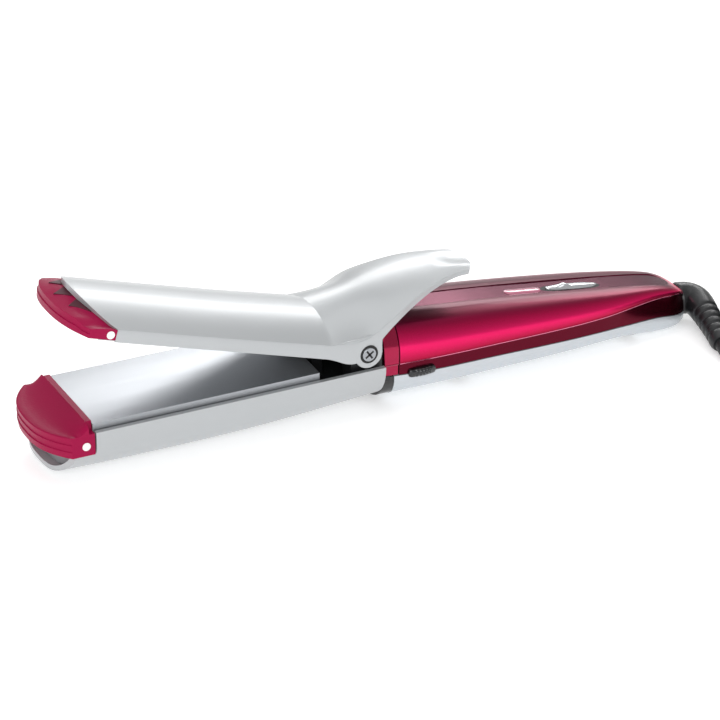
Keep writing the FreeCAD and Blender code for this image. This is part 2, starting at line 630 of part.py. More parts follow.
# ---------------------------------------------------------------- hinge
def make_hinge():
    """Black block between the arms and the handle, the pin, its bushes, screws and spring."""
    base_low, base_high = -S.trough_drop + S.waist_rise + S.wall + S.gap, -S.rim_drop - 6
    base = common("block_base", block("block_brick", (-S.plate_rear + 1, S.collar_front - 0.5),
                                      (-cheek_outer, cheek_outer), (base_low, base_high)),
                  solid("block_space", trough(float(S.wall) + float(S.gap))))
    tongue_low = -S.swivel_drop - 1
    tongue = block("block_tongue", (S.collar_front - 2, S.screw_front - S.boss_dia), (-11, 11),
                   (tongue_low, base_high))
    cheeks = [block("cheek_" + side, (-S.ear_radius, S.collar_front - 0.5), span,
                    (base_high - 1, Size(0, "0")))
              for side, span in (("left", (cheek_inner, cheek_outer)),
                                 ("right", (-cheek_outer, -cheek_inner)))]
    rounds = [rod("cheek_round_" + side, S.ear_radius, (0, low, 0), S.cheek_thick, "y")
              for side, low in (("left", cheek_inner), ("right", -cheek_outer))]
    ledge = block("spring_ledge", (-S.spring_leg - 3, -S.spring_leg + 1), (-8, 8),
                  (base_high - 1, -S.spring_dia / 2 - S.spring_wire / 2))
    channel = block("wire_channel", (-S.plate_rear - 1, S.screw_front), (-wire_half, wire_half),
                    (wire_level - 2, wire_level + 2))
    bore = rod("block_bore", S.pin_dia / 2, (0, -half_arm, 0), S.arm_width, "y")
    flange = handle_slice("band_flange", S.collar_front - 0.5, S.band_rear, S.rim_drop + 6)
    whole = fuse("block_whole", base, tongue, ledge, flange, *(cheeks + rounds))
    finish(cut("block_cut", whole, channel, bore), "hinge_block")

    reach = half_arm - S.screw_head_thick - 0.5
    core = rod("pin_core", S.pin_dia / 2, (0, -reach, 0), reach * 2, "y")
    tapped = [rod("pin_tap_right", S.screw_dia / 2, (0, -reach - 1, 0), 8, "y"),
              rod("pin_tap_left", S.screw_dia / 2, (0, reach - 7, 0), 8, "y")]
    finish(cut("pin_tapped", core, *tapped), "hinge_pin")

    bushes = []
    for side, low in (("left", boss_inner), ("right", -reach)):
        outer = rod("bush_" + side, S.pin_dia / 2 + S.running + S.bush_wall, (0, low, 0),
                    reach - boss_inner, "y")
        hole = rod("bush_hole_" + side, S.pin_dia / 2 + S.running, (0, low - 1, 0),
                   reach - boss_inner + 2, "y")
        bushes.append(cut("bush_cut_" + side, outer, hole))
    finish(group("bush_pair", bushes), "hinge_bushes", "arm")

    screws = []
    for side, head, shank in (("left", reach, reach - 6), ("right", -reach - S.screw_head_thick, -reach)):
        cap = rod("pivot_head_" + side, S.screw_head_dia / 2, (0, head, 0), S.screw_head_thick, "y")
        stem = rod("pivot_stem_" + side, S.screw_dia / 2, (0, shank, 0), 6, "y")
        socket = block("pivot_slot_" + side, (-S.screw_head_dia / 4, S.screw_head_dia / 4),
                       (head - 0.1 + (0.9 if side == "left" else -0.1), head + (1.7 if side == "left" else 0.6)),
                       (Size(-0.5, "-0.5"), Size(0.5, "0.5")))
        screws.append(cut("pivot_screw_" + side, fuse("pivot_whole_" + side, cap, stem), socket))
    finish(group("pivot_pair", screws), "pivot_screws")


def make_spring():
    """Wound round the pin between the cheeks, a leg on the block and a leg under the arm."""
    mean, wire = float(S.spring_dia) / 2, float(S.spring_wire) / 2
    lean = math.radians(float(S.open_angle))
    turns = float(S.spring_turns) + 0.5 - lean / (2 * math.pi)
    width = float(S.spring_pitch) * turns
    coil = Part.makeHelix(float(S.spring_pitch), width, mean)
    coil.Placement = Placement(Vector(0, width / 2, 0), Rotation(Vector(1, 0, 0), 90))
    coil.rotate(Vector(), Vector(0, 1, 0), 90)
    lower = Vector(0, width / 2, -mean)
    upper = Vector(mean * math.sin(lean), -width / 2, mean * math.cos(lean))
    ring = Part.Wire(Part.Circle(lower, Vector(1, 0, 0), wire).toShape())
    wound = Part.Wire(coil.Edges).makePipeShell([ring], True, True)
    # each leg starts inside the coil's last wire and is a touch thinner, so that they join soundly
    legs = [Part.makeCylinder(0.96 * wire, float(S.spring_leg) + wire, end - toward * wire, toward)
            for end, toward in ((lower, Vector(-1, 0, 0)),
                                (upper, Vector(-math.cos(lean), 0, math.sin(lean))))]
    finish(solid("spring_whole", wound.fuse(legs)), "torsion_spring")


# ---------------------------------------------------------------- handle
# share of the way from the collar to the rear end, share of the half width, then the heights
# of the top, the side ridge, the seam between the shells and the bottom
HANDLE = [(0.000, 1.010, 9.1, -7.8, -13.2, -25.4), (0.155, 1.000, 6.1, -8.8, -14.8, -25.7),
          (0.345, 0.975, 3.3, -9.3, -15.4, -25.8), (0.600, 0.875, -1.1, -10.3, -16.9, -25.8),
          (0.780, 0.745, -4.6, -10.6, -17.9, -25.9), (0.895, 0.640, -7.2, -11.6, -18.8, -28.2),
          (0.970, 0.575, -9.8, -13.8, -20.6, -28.2), (1.000, 0.540, -11.5, -15.4, -21.2, -27.2)]


def handle_section(x, half, top, ridge, seam, bottom, inset):
    """Flat-topped, widest at the ridge, then a band that leans in to the seam."""
    half, top, bottom = half - inset, top - inset, bottom + inset
    height, depth = top - ridge, bottom - seam
    band = half - 0.8

    def mirrored(points):
        return [Vector(x, -y, z) for y, z in points] + [Vector(x, y, z) for y, z in points[-2::-1]]

    upper, lower = Part.BSplineCurve(), Part.BSplineCurve()
    upper.interpolate(mirrored([(half, ridge), (0.955 * half, ridge + 0.42 * height),
                                (0.78 * half, ridge + 0.83 * height), (0.45 * half, top), (0, top)]))
    lower.interpolate(mirrored([(band, seam), (0.84 * band, seam + 0.62 * depth),
                                (0.50 * band, seam + 0.95 * depth), (0, bottom)]))
    ends = [Vector(x, side * half, ridge) for side in (-1, 1)]
    seams = [Vector(x, side * band, seam) for side in (-1, 1)]
    return Part.Wire([upper.toShape(), Part.LineSegment(ends[1], seams[1]).toShape(),
                      lower.toShape(), Part.LineSegment(seams[0], ends[0]).toShape()])


def handle_x(share):
    start = float(S.collar_front) - 1
    return start + share * (float(S.handle_reach) - start)


def handle_loft(name, inset):
    wires = [handle_section(handle_x(share), width * float(S.handle_width) / 2, top, ridge, seam,
                            bottom, inset)
             for share, width, top, ridge, seam, bottom in smoothed(HANDLE, 2)]
    return solid(name, loft(wires))


def handle_ring(name):
    """The hollow handle: open at the front, closed behind by a wall with the swivel's hole."""
    inner = common(name + "_hollow", handle_loft(name + "_inner", float(S.wall)),
                   block(name + "_reach", (S.collar_front - 5, S.handle_reach - S.wall),
                         (-S.arm_width, S.arm_width), (-S.arm_width, S.arm_width)))
    outlet = rod(name + "_outlet", S.swivel_dia / 2 + S.gap, (S.handle_reach - 3 * S.wall, 0, -S.swivel_drop),
                 4 * S.wall, "x")
    above_floor = block(name + "_foot", (S.collar_front - 5, S.handle_reach + 5),
                        (-S.arm_width, S.arm_width), (-S.hinge_height, S.arm_width))
    return common(name + "_flat_foot", cut(name, handle_solid, inner, outlet), above_floor)


def handle_slice(name, start, end, drop=None):
    """The whole handle outline, solid, between two x, and below drop where it is given."""
    top = S.arm_width if drop is None else -drop
    return common(name, handle_solid, block(name + "_slab", (start, end), (-S.arm_width, S.arm_width),
                                            (-S.arm_width, top)))


def seam_prism(name, low_side, start):
    """Everything under, or over, the seam line, from start to the rear end."""
    line = [(handle_x(share), seam) for share, _, _, _, seam, _ in HANDLE]
    line = [(-20.0, line[0][1])] + line + [(line[-1][0] + 20, line[-1][1])]
    level = -60.0 if low_side else 60.0
    corners = [Vector(x, -60, z) for x, z in line]
    corners += [Vector(line[-1][0], -60, level), Vector(line[0][0], -60, level)]
    prism = Part.Face(Part.makePolygon(corners + corners[:1])).extrude(Vector(0, 120, 0))
    slab = Part.makeBox(400, 120, 120, Vector(start, -60, -60))
    return solid(name, prism.common(slab))


def strip_line():
    """Points of the trim strip's underside edge: it follows the top, but is straight under
    the lens and the switch, so that the switch can slide."""
    straight = (float(S.lens_front) - 5, float(S.knob_front) + float(S.knob_length) + 4)
    ends = (float(S.strip_front), float(S.strip_end))
    stations = [(handle_x(share), top) for share, _, top, *_ in smoothed(HANDLE, 2)]
    clear = 2.0
    xs = [x for x, _ in stations if ends[0] + clear < x < straight[0] - clear
          or straight[1] + clear < x < ends[1] - clear]
    line = []
    for x in sorted([*xs, *straight, *ends]):
        (x0, z0), (x1, z1) = next(pair for pair in zip(stations, stations[1:]) if x <= pair[1][0])
        line.append((x, z0 + (z1 - z0) * (x - x0) / (x1 - x0) - float(S.gap)))
    return line


def strip_prism(name, half, above, below, ends=0.0):
    line = strip_line()
    line[0] = (line[0][0] - ends, line[0][1])
    line[-1] = (line[-1][0] + ends, line[-1][1])
    corners = [Vector(x, -half, z + above) for x, z in line]
    corners += [Vector(x, -half, z - below) for x, z in reversed(line)]
    return solid(name, Part.Face(Part.makePolygon(corners + corners[:1])).extrude(Vector(0, 2 * half, 0)))


def strip_slope():
    """Start and slope of the strip's straight stretch, where the switch slides."""
    line, knob = strip_line(), float(S.knob_front)
    (x0, z0), (x1, z1) = next(pair for pair in zip(line, line[1:]) if knob <= pair[1][0])
    return x0, z0, math.atan2(z1 - z0, x1 - x0)


def along_strip(name, front, length, half, above, below):
    """A block that lies along the strip's middle stretch, a little to the right of its middle."""
    x0, z0, slope = strip_slope()
    front, length = float(front), float(length)
    box = Part.makeBox(length, 2 * half, above + below, Vector(0, -half - float(S.control_side), -below))
    turned = Placement(Vector(front, 0, z0 + (front - x0) * math.tan(slope)),
                       Rotation(Vector(0, 1, 0), -math.degrees(slope)))
    box.Placement = turned.multiply(box.Placement)
    return solid(name, box)


screw_spots = [(S.screw_front, S.screw_spread / 2), (S.screw_front, -S.screw_spread / 2),
               (S.screw_rear, S.screw_spread / 2 - 2), (S.screw_rear, -S.screw_spread / 2 + 2)]


def make_handle_shells():
    boss_split = -S.board_drop - 4
    # upper shell: candy-coloured half with the recess for the strip
    upper = common("upper_half", handle_skin,
                   seam_prism("over_seam", False, float(S.collar_rear)))
    posts = [rod("upper_post_%d" % k, S.boss_dia / 2, (x, y, boss_split), S.hinge_height, "z")
             for k, (x, y) in enumerate(screw_spots)]
    posts_in = common("upper_posts", group("upper_post_set", posts), handle_loft("post_space", 1.0))
    lens_half, half = float(S.lens_width) / 2, float(S.strip_width) / 2
    tools = [strip_prism("strip_recess", half, 12, float(S.strip_thick)),
             along_strip("stem_slot", S.knob_front - S.knob_travel + 7, S.knob_length - 8, 1.8, 2, 9),
             along_strip("lamp_slot", S.lens_front + 2, S.lens_length - 4, lens_half - 0.7, 2, 9)]
    tools += [rod("upper_pilot_%d" % k, S.screw_dia / 2, (x, y, boss_split - 1), 8, "z")
              for k, (x, y) in enumerate(screw_spots)]
    lock_window = block("lock_window", (S.lock_front - S.lock_travel - S.gap, S.lock_front + S.lock_length + S.gap),
                        (-S.handle_width, Size(0, "0")),
                        (-S.lock_level - S.lock_height / 2 - S.gap, -S.lock_level + S.lock_height / 2 + S.gap))
    tools.append(lock_window)
    finish(cut("upper_shell_cut", fuse("upper_shell_whole", upper, posts_in), *tools), "handle_upper_shell")

    # lower shell: silver half with the rear foot
    lower = common("lower_half", handle_skin,
                   seam_prism("under_seam", True, float(S.band_rear)))
    posts = [rod("lower_post_%d" % k, S.boss_dia / 2, (x, y, -S.hinge_height), S.hinge_height + boss_split, "z")
             for k, (x, y) in enumerate(screw_spots)]
    rests = [rod("board_rest_%d" % k, 2.4, (x, 0, -S.hinge_height), S.hinge_height - S.board_drop, "z")
             for k, x in enumerate((S.board_front + 5, S.board_front + S.board_length - 5))]
    posts_in = common("lower_posts", group("lower_post_set", posts + rests), handle_loft("rest_space", 1.0))
    tools = []
    for k, (x, y) in enumerate(screw_spots):
        tools.append(rod("lower_hole_%d" % k, S.screw_dia / 2, (x, y, -S.hinge_height - 1), 16, "z"))
        tools.append(rod("lower_sink_%d" % k, S.screw_dia + 0.2, (x, y, -S.hinge_height - 1), 5.4, "z"))
    tools += [rod("rest_pilot_%d" % k, 1.1, (x, 0, -S.board_drop - 6), 7, "z")
              for k, x in enumerate((S.board_front + 5, S.board_front + S.board_length - 5))]
    tools.append(lock_window)
    finish(cut("lower_shell_cut", fuse("lower_shell_whole", lower, posts_in), *tools), "handle_lower_shell")

    collar = common("collar_slice", handle_skin,
                    seam_prism("over_seam_collar", False, float(S.collar_front)))
    trimmed = common("collar_cut", collar, block("collar_slab", (S.collar_front, S.collar_rear),
                                                 (-S.arm_width, S.arm_width), (-S.arm_width, S.arm_width)))
    finish(cut("collar_clear", trimmed, block("collar_band_gap", (S.collar_front - 1, S.band_rear + 0.01),
                                              (-S.arm_width, S.arm_width), (-S.arm_width, -S.rim_drop - 6))),
           "front_collar")

    screws = []
    for k, (x, y) in enumerate(screw_spots):
        head_low = -S.hinge_height + 4.4 - 2.0
        screws.append(fuse("shell_screw_%d" % k,
                           rod("shell_screw_head_%d" % k, S.screw_dia, (x, y, head_low), 2.0, "z"),
                           rod("shell_screw_stem_%d" % k, S.screw_dia / 2, (x, y, head_low + 1), 11, "z")))
    finish(group("shell_screws", screws), "handle_screws")


def make_strip():
    half = float(S.strip_width) / 2
    knob_half = float(S.knob_width) / 2 + float(S.gap)
    thick = float(S.strip_thick)
    window = along_strip("knob_window", S.knob_front - S.knob_travel - S.gap,
                         S.knob_length + S.knob_travel + 2 * S.gap, knob_half, 5, 5)
    seat = along_strip("lens_window", S.lens_front, S.lens_length, float(S.lens_width) / 2, 5, 5)
    finish(cut("strip_cut", strip_prism("strip_blank", half, 0, thick), window, seat), "top_trim_strip")
    finish(group("lens_set", [along_strip("lens_block", S.lens_front, S.lens_length,
                                          float(S.lens_width) / 2, 0.5, thick - float(S.running))]),
           "indicator_lens")


# ---------------------------------------------------------------- switch, board and wiring
def make_controls():
    knob_half, thick = float(S.knob_width) / 2, float(S.strip_thick)
    clear = float(S.gap)
    cap = along_strip("knob_cap", S.knob_front, S.knob_length, knob_half, 1.4, thick - clear)
    stem_start, stem_length = S.knob_front + 9, S.knob_length - 16
    stem = along_strip("knob_stem", stem_start, stem_length, 1.2, 0, float(S.knob_stem))
    finish(fuse("knob_whole", cap, stem), "switch_knob")

    board_x = (S.board_front, S.board_front + S.board_length)
    board = block("board_blank", board_x, (-S.board_width / 2, S.board_width / 2),
                  (-S.board_drop, -S.board_drop + S.board_thick))
    spots = (S.board_front + 5, S.board_front + S.board_length - 5)
    holes = [rod("board_hole_%d" % k, 1.1, (x, 0, -S.board_drop - 1), 4, "z") for k, x in enumerate(spots)]
    finish(cut("board_cut", board, *holes), "circuit_board")
    face = -S.board_drop + S.board_thick
    screws = [fuse("board_screw_%d" % k, rod("board_screw_head_%d" % k, 2.0, (x, 0, face), 1.2, "z"),
                   rod("board_screw_stem_%d" % k, 1.1, (x, 0, face - 7), 7.5, "z"))
              for k, x in enumerate(spots)]
    finish(group("board_screw_set", screws), "board_screws")

    x0, z0, slope = strip_slope()
    rear_x = float(stem_start) + float(stem_length)
    stem_foot = z0 + (rear_x - x0) * math.tan(slope) - float(S.knob_stem) / math.cos(slope)
    block_top = Size(stem_foot - clear, repr(stem_foot - clear))
    finish(group("switch_block_set", [block("switch_case", (S.knob_front + 3, S.knob_front + 21),
                                            (-4 - S.control_side, 4 - S.control_side),
                                            (face, block_top))]), "switch_block")
    lamp_x = S.lens_front + S.lens_length / 2
    bulb = rod("led_bulb", 1.5, (lamp_x, -S.control_side, face), 7, "z")
    flange = rod("led_flange", 1.9, (lamp_x, -S.control_side, face), 1.2, "z")
    finish(fuse("led_whole", bulb, flange), "indicator_led")


def wire_run(points, radius):
    """A thin wire with a small round bend at each corner."""
    spots = [Vector(*[float(v) for v in point]) for point in points]
    return tube(spots, [1.5 * radius] * (len(spots) - 2), radius)[0]


def make_wires():
    """Leads from the board to the lower heater, and from the swivel to the board."""
    wire = 0.8
    level = float(wire_level)
    rear = float(S.board_front) + 3
    front = float(heater_span[1])
    seat = float(plate_ceiling) - float(S.heater_thick) / 2
    leads = [wire_run([(front, y, seat), (front + 5, y, seat), (front + 8, y, level), (rear, y, level),
                       (rear, y, -float(S.board_drop))], wire) for y in (-4.2, 4.2)]
    finish(solid("heater_wires", Part.Compound(leads)), "heater_leads")
    back = float(S.board_front) + float(S.board_length) - 1.5
    start = float(S.handle_reach) - float(S.socket_length)
    mains = [wire_run([(start, y, -float(S.swivel_drop)), (back, y, -float(S.swivel_drop)),
                       (back, y, -float(S.board_drop))], wire) for y in (-1.5, 1.5)]
    finish(solid("mains_wires", Part.Compound(mains)), "mains_leads")


# ---------------------------------------------------------------- jaw lock
def make_lock():
    """A side slider: a canoe-shaped button outside, a web through the window and a bar inside."""
    low, high = -S.lock_level - S.lock_height / 2, -S.lock_level + S.lock_height / 2
    face = -S.handle_width / 2
    span = (S.lock_front, S.lock_front + S.lock_length)
    owner = body("lock_button")
    outline = [(span[0], face), (span[1], face), (span[1], face + 1.8), (span[0], face + 1.8)]
    pad(owner, sketch(owner, "lock_outline", "XY_Plane", outline, {0: Size(1.9, "1.9")}, low), high - low)
    web = block("lock_web", (span[0] + 2, span[1] - 2), (face + 1.5, face + 6.2), (low + 0.6, high - 0.6))
    bar = block("lock_bar", (S.band_rear + 3 * S.gap + S.lock_travel, span[1] + 1),
                (face + 4.4, face + 6.4), (low + 0.2, high - 0.2))
    finish(fuse("lock_whole", owner, web, bar), "lock_slider")


# ---------------------------------------------------------------- swivel, cord and plug
def make_swivel():
    """The cord turns in the handle: a flanged barrel in a bearing that the shells clamp."""
    rear, drop = S.handle_reach, -S.swivel_drop
    bore, barrel = S.swivel_dia / 2 + S.running, S.swivel_dia / 2
    socket_x = rear - S.wall - S.socket_length
    outer = rod("socket_body", barrel + 2.2, (socket_x, 0, drop), S.socket_length, "x")
    groove = rod("socket_groove", barrel + 1.4, (socket_x + 2.2, 0, drop), 2.6, "x")
    hole = rod("socket_bore", bore, (socket_x - 1, 0, drop), S.socket_length + 2, "x")
    space = handle_loft("socket_space", float(S.wall) + float(S.running))
    finish(common("socket_fit", cut("socket_cut", outer, groove, hole), space), "swivel_socket")
    core_x = socket_x + S.gap
    core = rod("barrel_core", barrel, (core_x, 0, drop), rear + S.relief_gap - core_x, "x")
    flange = rod("barrel_flange", barrel + 1.1, (socket_x + 2.5, 0, drop), 2.0, "x")
    lead_hole = rod("barrel_bore", S.cord_dia / 2 - 0.1, (socket_x - 1, 0, drop), 20, "x")
    finish(cut("barrel_cut", fuse("barrel_whole", core, flange), lead_hole), "swivel_barrel")


# route of the lead: out of the barrel, round the elbow, down to the surface and to the coil
def relief_points():
    rear, drop = float(S.handle_reach), -float(S.swivel_drop)
    surface = -float(S.hinge_height) + float(S.relief_end_dia) / 2
    return [Vector(rear + float(S.relief_gap), 0, drop), Vector(rear + 8.5, 0, drop),
            Vector(rear + 5.5, -16.0, drop - 1.8), Vector(rear + 0.5, -34.0, surface + 0.1)]


def lead_points():
    """From the strain relief, round on the surface, to the outermost turn of the coil."""
    rear, level = float(S.handle_reach), -float(S.hinge_height) + float(S.cord_dia) / 2
    outer_turn = float(S.coil_radius) + float(S.cord_dia)
    return [relief_points()[-1], Vector(rear - 1.9, -42.6, level), Vector(rear + 4.1, -59.4, level),
            Vector(rear + 18.7, -69.5, level), coil_centre() + Vector(0, -outer_turn, level)]


def coil_centre():
    return Vector(float(S.handle_reach) + 54.5, -30.5, 0)


def bend_radii(points, first=1.0):
    """0.45 of the shorter run beside each corner, divided by the tangent of half its turn.
    first is 2 where the whole of the first run may bend."""
    radii = []
    for k, (before, corner, after) in enumerate(zip(points, points[1:], points[2:])):
        turn = math.pi - (before - corner).getAngle(after - corner)
        shorter = min((before - corner).Length * (1.0 if k else first), (after - corner).Length)
        radii.append(0.45 * shorter / math.tan(turn / 2))
    return radii


def make_strain_relief():
    """A tapered rubber elbow that leaves the barrel and lays the lead down on the surface."""
    points = relief_points()
    wire = path_wire(points, bend_radii(points))
    rings = [Part.Wire(Part.Circle(point, toward, float(size) / 2).toShape())
             for point, toward, size in ((points[0], points[1] - points[0], S.relief_dia),
                                         (points[-1], points[-1] - points[-2], S.relief_end_dia))]
    finish(solid("relief", wire.makePipeShell(rings, True, True)), "strain_relief")


def make_lead():
    points = lead_points()
    radii = bend_radii(points, 2.0)
    lead, length = tube(points, radii, float(S.cord_dia) / 2)
    print("lead radii:", [round(r, 1) for r in radii])
    section = math.pi * (float(S.cord_dia) / 2) ** 2
    print("lead volume %.0f, section times length %.0f" % (lead.Volume, section * length))
    finish(solid("lead", lead), "mains_lead")


def make_coil():
    """Outer shape of seven turns in three layers, lying on the tie that holds them."""
    turn, radius, floor = float(S.cord_dia), float(S.coil_radius), -float(S.hinge_height)
    low = floor + float(S.tie_thick)
    profile = [(radius - 1.5 * turn, low), (radius + 1.5 * turn, low), (radius + 1.5 * turn, low + 2 * turn),
               (radius + turn, low + 2.9 * turn), (radius - turn, low + 2.9 * turn),
               (radius - 1.5 * turn, low + 2 * turn)]
    centre = coil_centre()
    corners = [centre + Vector(r, 0, z) for r, z in profile]
    face = Part.Face(Part.makePolygon(corners + corners[:1]))
    finish(solid("coil", face.revolve(centre, Vector(0, 0, 1), 360)), "cord_coil")

    half, thick = float(S.tie_width) / 2, float(S.tie_thick)
    middle = centre.y + radius
    reach, height = 1.5 * turn, 2.9 * turn
    strap = [block("tie_" + name, tuple(Size(v, repr(v)) for v in x), tuple(Size(v, repr(v)) for v in y),
                   tuple(Size(v, repr(v)) for v in z)) for name, x, y, z in (
        ("outer", (centre.x - half, centre.x + half), (middle - reach - thick - 0.4, middle + reach + thick),
         (floor, low + height + thick)),
        ("inner", (centre.x - half - 1, centre.x + half + 1), (middle - reach - 0.4, middle + reach),
         (low, low + height)))]
    finish(cut("tie_cut", *strap), "cord_tie")


def coil_top():
    return -float(S.hinge_height) + float(S.tie_thick) + 2.9 * float(S.cord_dia)


def plug_start():
    """Where the lead enters the plug's tail. The plug lies on the coil's rear side."""
    return coil_centre() + Vector(30.0, -3.0, coil_top() + float(S.plug_thick) / 2)


def plug_section(y, half_width, half_thick):
    """An oblong with cut corners, standing across the plug."""
    start, chamfer = plug_start(), 0.45 * half_thick
    outline = [(-half_width + chamfer, -half_thick), (half_width - chamfer, -half_thick),
               (half_width, -half_thick + chamfer), (half_width, half_thick - chamfer),
               (half_width - chamfer, half_thick), (-half_width + chamfer, half_thick),
               (-half_width, half_thick - chamfer), (-half_width, -half_thick + chamfer)]
    corners = [start + Vector(x, y, z) for x, z in outline]
    return Part.makePolygon(corners + corners[:1])


def make_plug():
    """A flat two-pin plug: moulded body with a waisted tail, and round brass pins."""
    start, length = plug_start(), float(S.plug_length)
    wide, thick = float(S.plug_width) / 2, float(S.plug_thick) / 2
    neck = float(S.cord_dia) / 2 + 1.2
    sections = [plug_section(0, neck, neck), plug_section(0.35 * length, neck + 1, neck + 0.6),
                plug_section(0.62 * length, 0.8 * wide, thick), plug_section(length, wide, thick)]
    finish(solid("plug", loft(sections)), "plug_body")
    pins = [Part.makeCylinder(float(S.mains_pin_dia) / 2, float(S.pin_length),
                              start + Vector(side * float(S.pin_spread) / 2, length, 0), Vector(0, 1, 0))
            for side in (-1, 1)]
    finish(solid("pins", Part.Compound(pins)), "plug_pins")
    # the tail leaves the top turn and climbs through a quarter circle to the plug
    sweep, half = 30.0, float(S.cord_dia) / 2
    tail = [start + Vector(-sweep, -sweep, 0), start + Vector(-0.55 * sweep, -sweep, 0),
            start + Vector(-0.15 * sweep, -0.75 * sweep, 0), start + Vector(0, -0.35 * sweep, 0), start]
    for point, height in zip(tail, (-half, -0.3 * half, 0.6 * half, 0.95 * half + 2.5)):
        point.z = coil_top() + height
    finish(solid("tail", tube(tail, bend_radii(tail), float(S.cord_dia) / 2)[0]), "plug_lead")


arm_cavity = arm_loft("arm_cavity", float(S.wall), 8)
arm_skin = common("arm_skin", cut("arm_walls", arm_loft("arm_outer", 0, 0), arm_cavity),
                  arm_plan("arm_plan"))
handle_solid = handle_loft("handle_solid", 0)
handle_skin = handle_ring("handle_skin")
make_lower_arm_shell()
make_lower_plate()
make_upper_plate()
make_heaters()
make_fuse()
make_lower_tray()
make_upper_tray()
make_lower_tip()
make_upper_tip()
make_rivets()
make_upper_arm_shell()
make_hinge()
make_spring()
make_handle_shells()
make_strip()
make_controls()
make_wires()
make_lock()
make_swivel()
make_strain_relief()
make_lead()
make_coil()
make_plug()
doc.recompute()

# ---------------------------------------------------------------- check and write
faults = [thing.Name for thing in doc.Objects
          if {"Invalid", "Error"} & set(thing.State)]
faults += [piece.Label for piece in PIECES
           if piece.Shape.isNull() or not piece.Shape.isValid() or not piece.Shape.Solids]
if faults:
    raise SystemExit("not sound: " + ", ".join(faults))
os.makedirs("parts", exist_ok=True)
for piece in PIECES:
    piece.Shape.exportStep("parts/%s.step" % piece.Label)
    bounds = piece.Shape.BoundBox
    print("%-20s %d solid(s) %9.1f mm3  x %.1f..%.1f y %.1f..%.1f z %.1f..%.1f" % (
        piece.Label, len(piece.Shape.Solids), piece.Shape.Volume, bounds.XMin, bounds.XMax,
        bounds.YMin, bounds.YMax, bounds.ZMin, bounds.ZMax))
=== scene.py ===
"""Hair tongs with two long plates, a thumb lever and a swivel mains lead.

Pieces are drawn in millimetres from the jaw hinge, X towards the lead and Z up, and placed
by from_hinge. Those of the upper arm are drawn with the jaws shut, and on_arm opens them.
"""
import json
import math

import bmesh
import bpy
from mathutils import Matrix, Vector


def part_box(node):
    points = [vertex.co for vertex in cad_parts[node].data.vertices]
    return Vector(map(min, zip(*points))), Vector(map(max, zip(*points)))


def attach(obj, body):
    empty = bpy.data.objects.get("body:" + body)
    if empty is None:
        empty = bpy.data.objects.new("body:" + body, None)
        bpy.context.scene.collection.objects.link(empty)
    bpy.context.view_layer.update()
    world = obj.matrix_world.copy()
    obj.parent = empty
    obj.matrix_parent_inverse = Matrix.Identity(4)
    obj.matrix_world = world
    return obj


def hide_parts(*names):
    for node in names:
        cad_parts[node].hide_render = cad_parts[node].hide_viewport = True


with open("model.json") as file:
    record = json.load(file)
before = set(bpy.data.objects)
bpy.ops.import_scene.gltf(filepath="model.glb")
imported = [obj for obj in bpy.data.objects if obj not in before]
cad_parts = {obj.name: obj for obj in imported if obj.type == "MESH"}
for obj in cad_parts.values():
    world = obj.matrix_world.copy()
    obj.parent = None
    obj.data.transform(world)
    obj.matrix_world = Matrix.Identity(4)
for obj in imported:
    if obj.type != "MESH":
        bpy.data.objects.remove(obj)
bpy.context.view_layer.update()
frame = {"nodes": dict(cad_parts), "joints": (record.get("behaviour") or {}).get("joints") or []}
scene = bpy.context.scene
nodes = frame["nodes"]

# ---------------------------------------------------------------- floor, light and camera
# A white sweep that runs to the horizon, lit by broad soft boxes as in a product studio.
MM = 0.001


def tint(code):
    """A colour given as six hexadecimal digits, in linear light with its alpha."""
    parts = [int(code[k:k + 2], 16) / 255 for k in (0, 2, 4)]
    return [p / 12.92 if p <= 0.04045 else ((p + 0.055) / 1.055) ** 2.4 for p in parts] + [1.0]


floor_mesh = bpy.data.meshes.new("floor")
reach = 6.0
floor_mesh.from_pydata([(-reach, -reach, 0), (reach, -reach, 0), (reach, reach, 0), (-reach, reach, 0)],
                       [], [(0, 1, 2, 3)])
floor = bpy.data.objects.new("floor", floor_mesh)
scene.collection.objects.link(floor)
floor_paint = bpy.data.materials.new("floor_paper")
floor_paint.use_nodes = True
paper = floor_paint.node_tree.nodes["Principled BSDF"]
paper.inputs["Base Color"].default_value = (0.93, 0.93, 0.93, 1)
paper.inputs["Roughness"].default_value = 0.9
paper.inputs["Emission Color"].default_value = (1, 1, 1, 1)
paper.inputs["Emission Strength"].default_value = 0.38
floor_mesh.materials.append(floor_paint)

world = bpy.data.worlds.new("studio")
scene.world = world
world.use_nodes = True
world.node_tree.nodes["Background"].inputs["Color"].default_value = (1.0, 1.0, 1.0, 1)
world.node_tree.nodes["Background"].inputs["Strength"].default_value = 0.5


def soft_box(name, place, aim, size, power):
    """A rectangular lamp at place that faces aim."""
    light = bpy.data.lights.new(name, "AREA")
    light.shape, light.size, light.size_y = "RECTANGLE", size[0], size[1]
    light.energy = power
    lamp = bpy.data.objects.new(name, light)
    lamp.location = place
    lamp.rotation_euler = (Vector(aim) - Vector(place)).to_track_quat("-Z", "Y").to_euler()
    scene.collection.objects.link(lamp)


soft_box("overhead_box", (0.0, 0.15, 1.2), (0, 0, 0), (1.3, 0.8), 3.6)
soft_box("front_box", (-0.7, -1.1, 0.7), (0, 0, 0.02), (0.9, 0.6), 8.5)
soft_box("rim_box", (0.6, 0.9, 0.6), (0, 0, 0), (0.8, 0.3), 5)

camera = bpy.data.objects.new("camera", bpy.data.cameras.new("camera"))
camera.data.lens = 149.5
camera.data.sensor_width = 36
camera.location = (-0.465, -0.920, 0.5264)
aim = Vector((-0.00374, 0.0, 0.01314))
camera.rotation_euler = (aim - camera.location).to_track_quat("-Z", "Y").to_euler()
scene.collection.objects.link(camera)
scene.camera = camera
scene.view_settings.view_transform = "Standard"

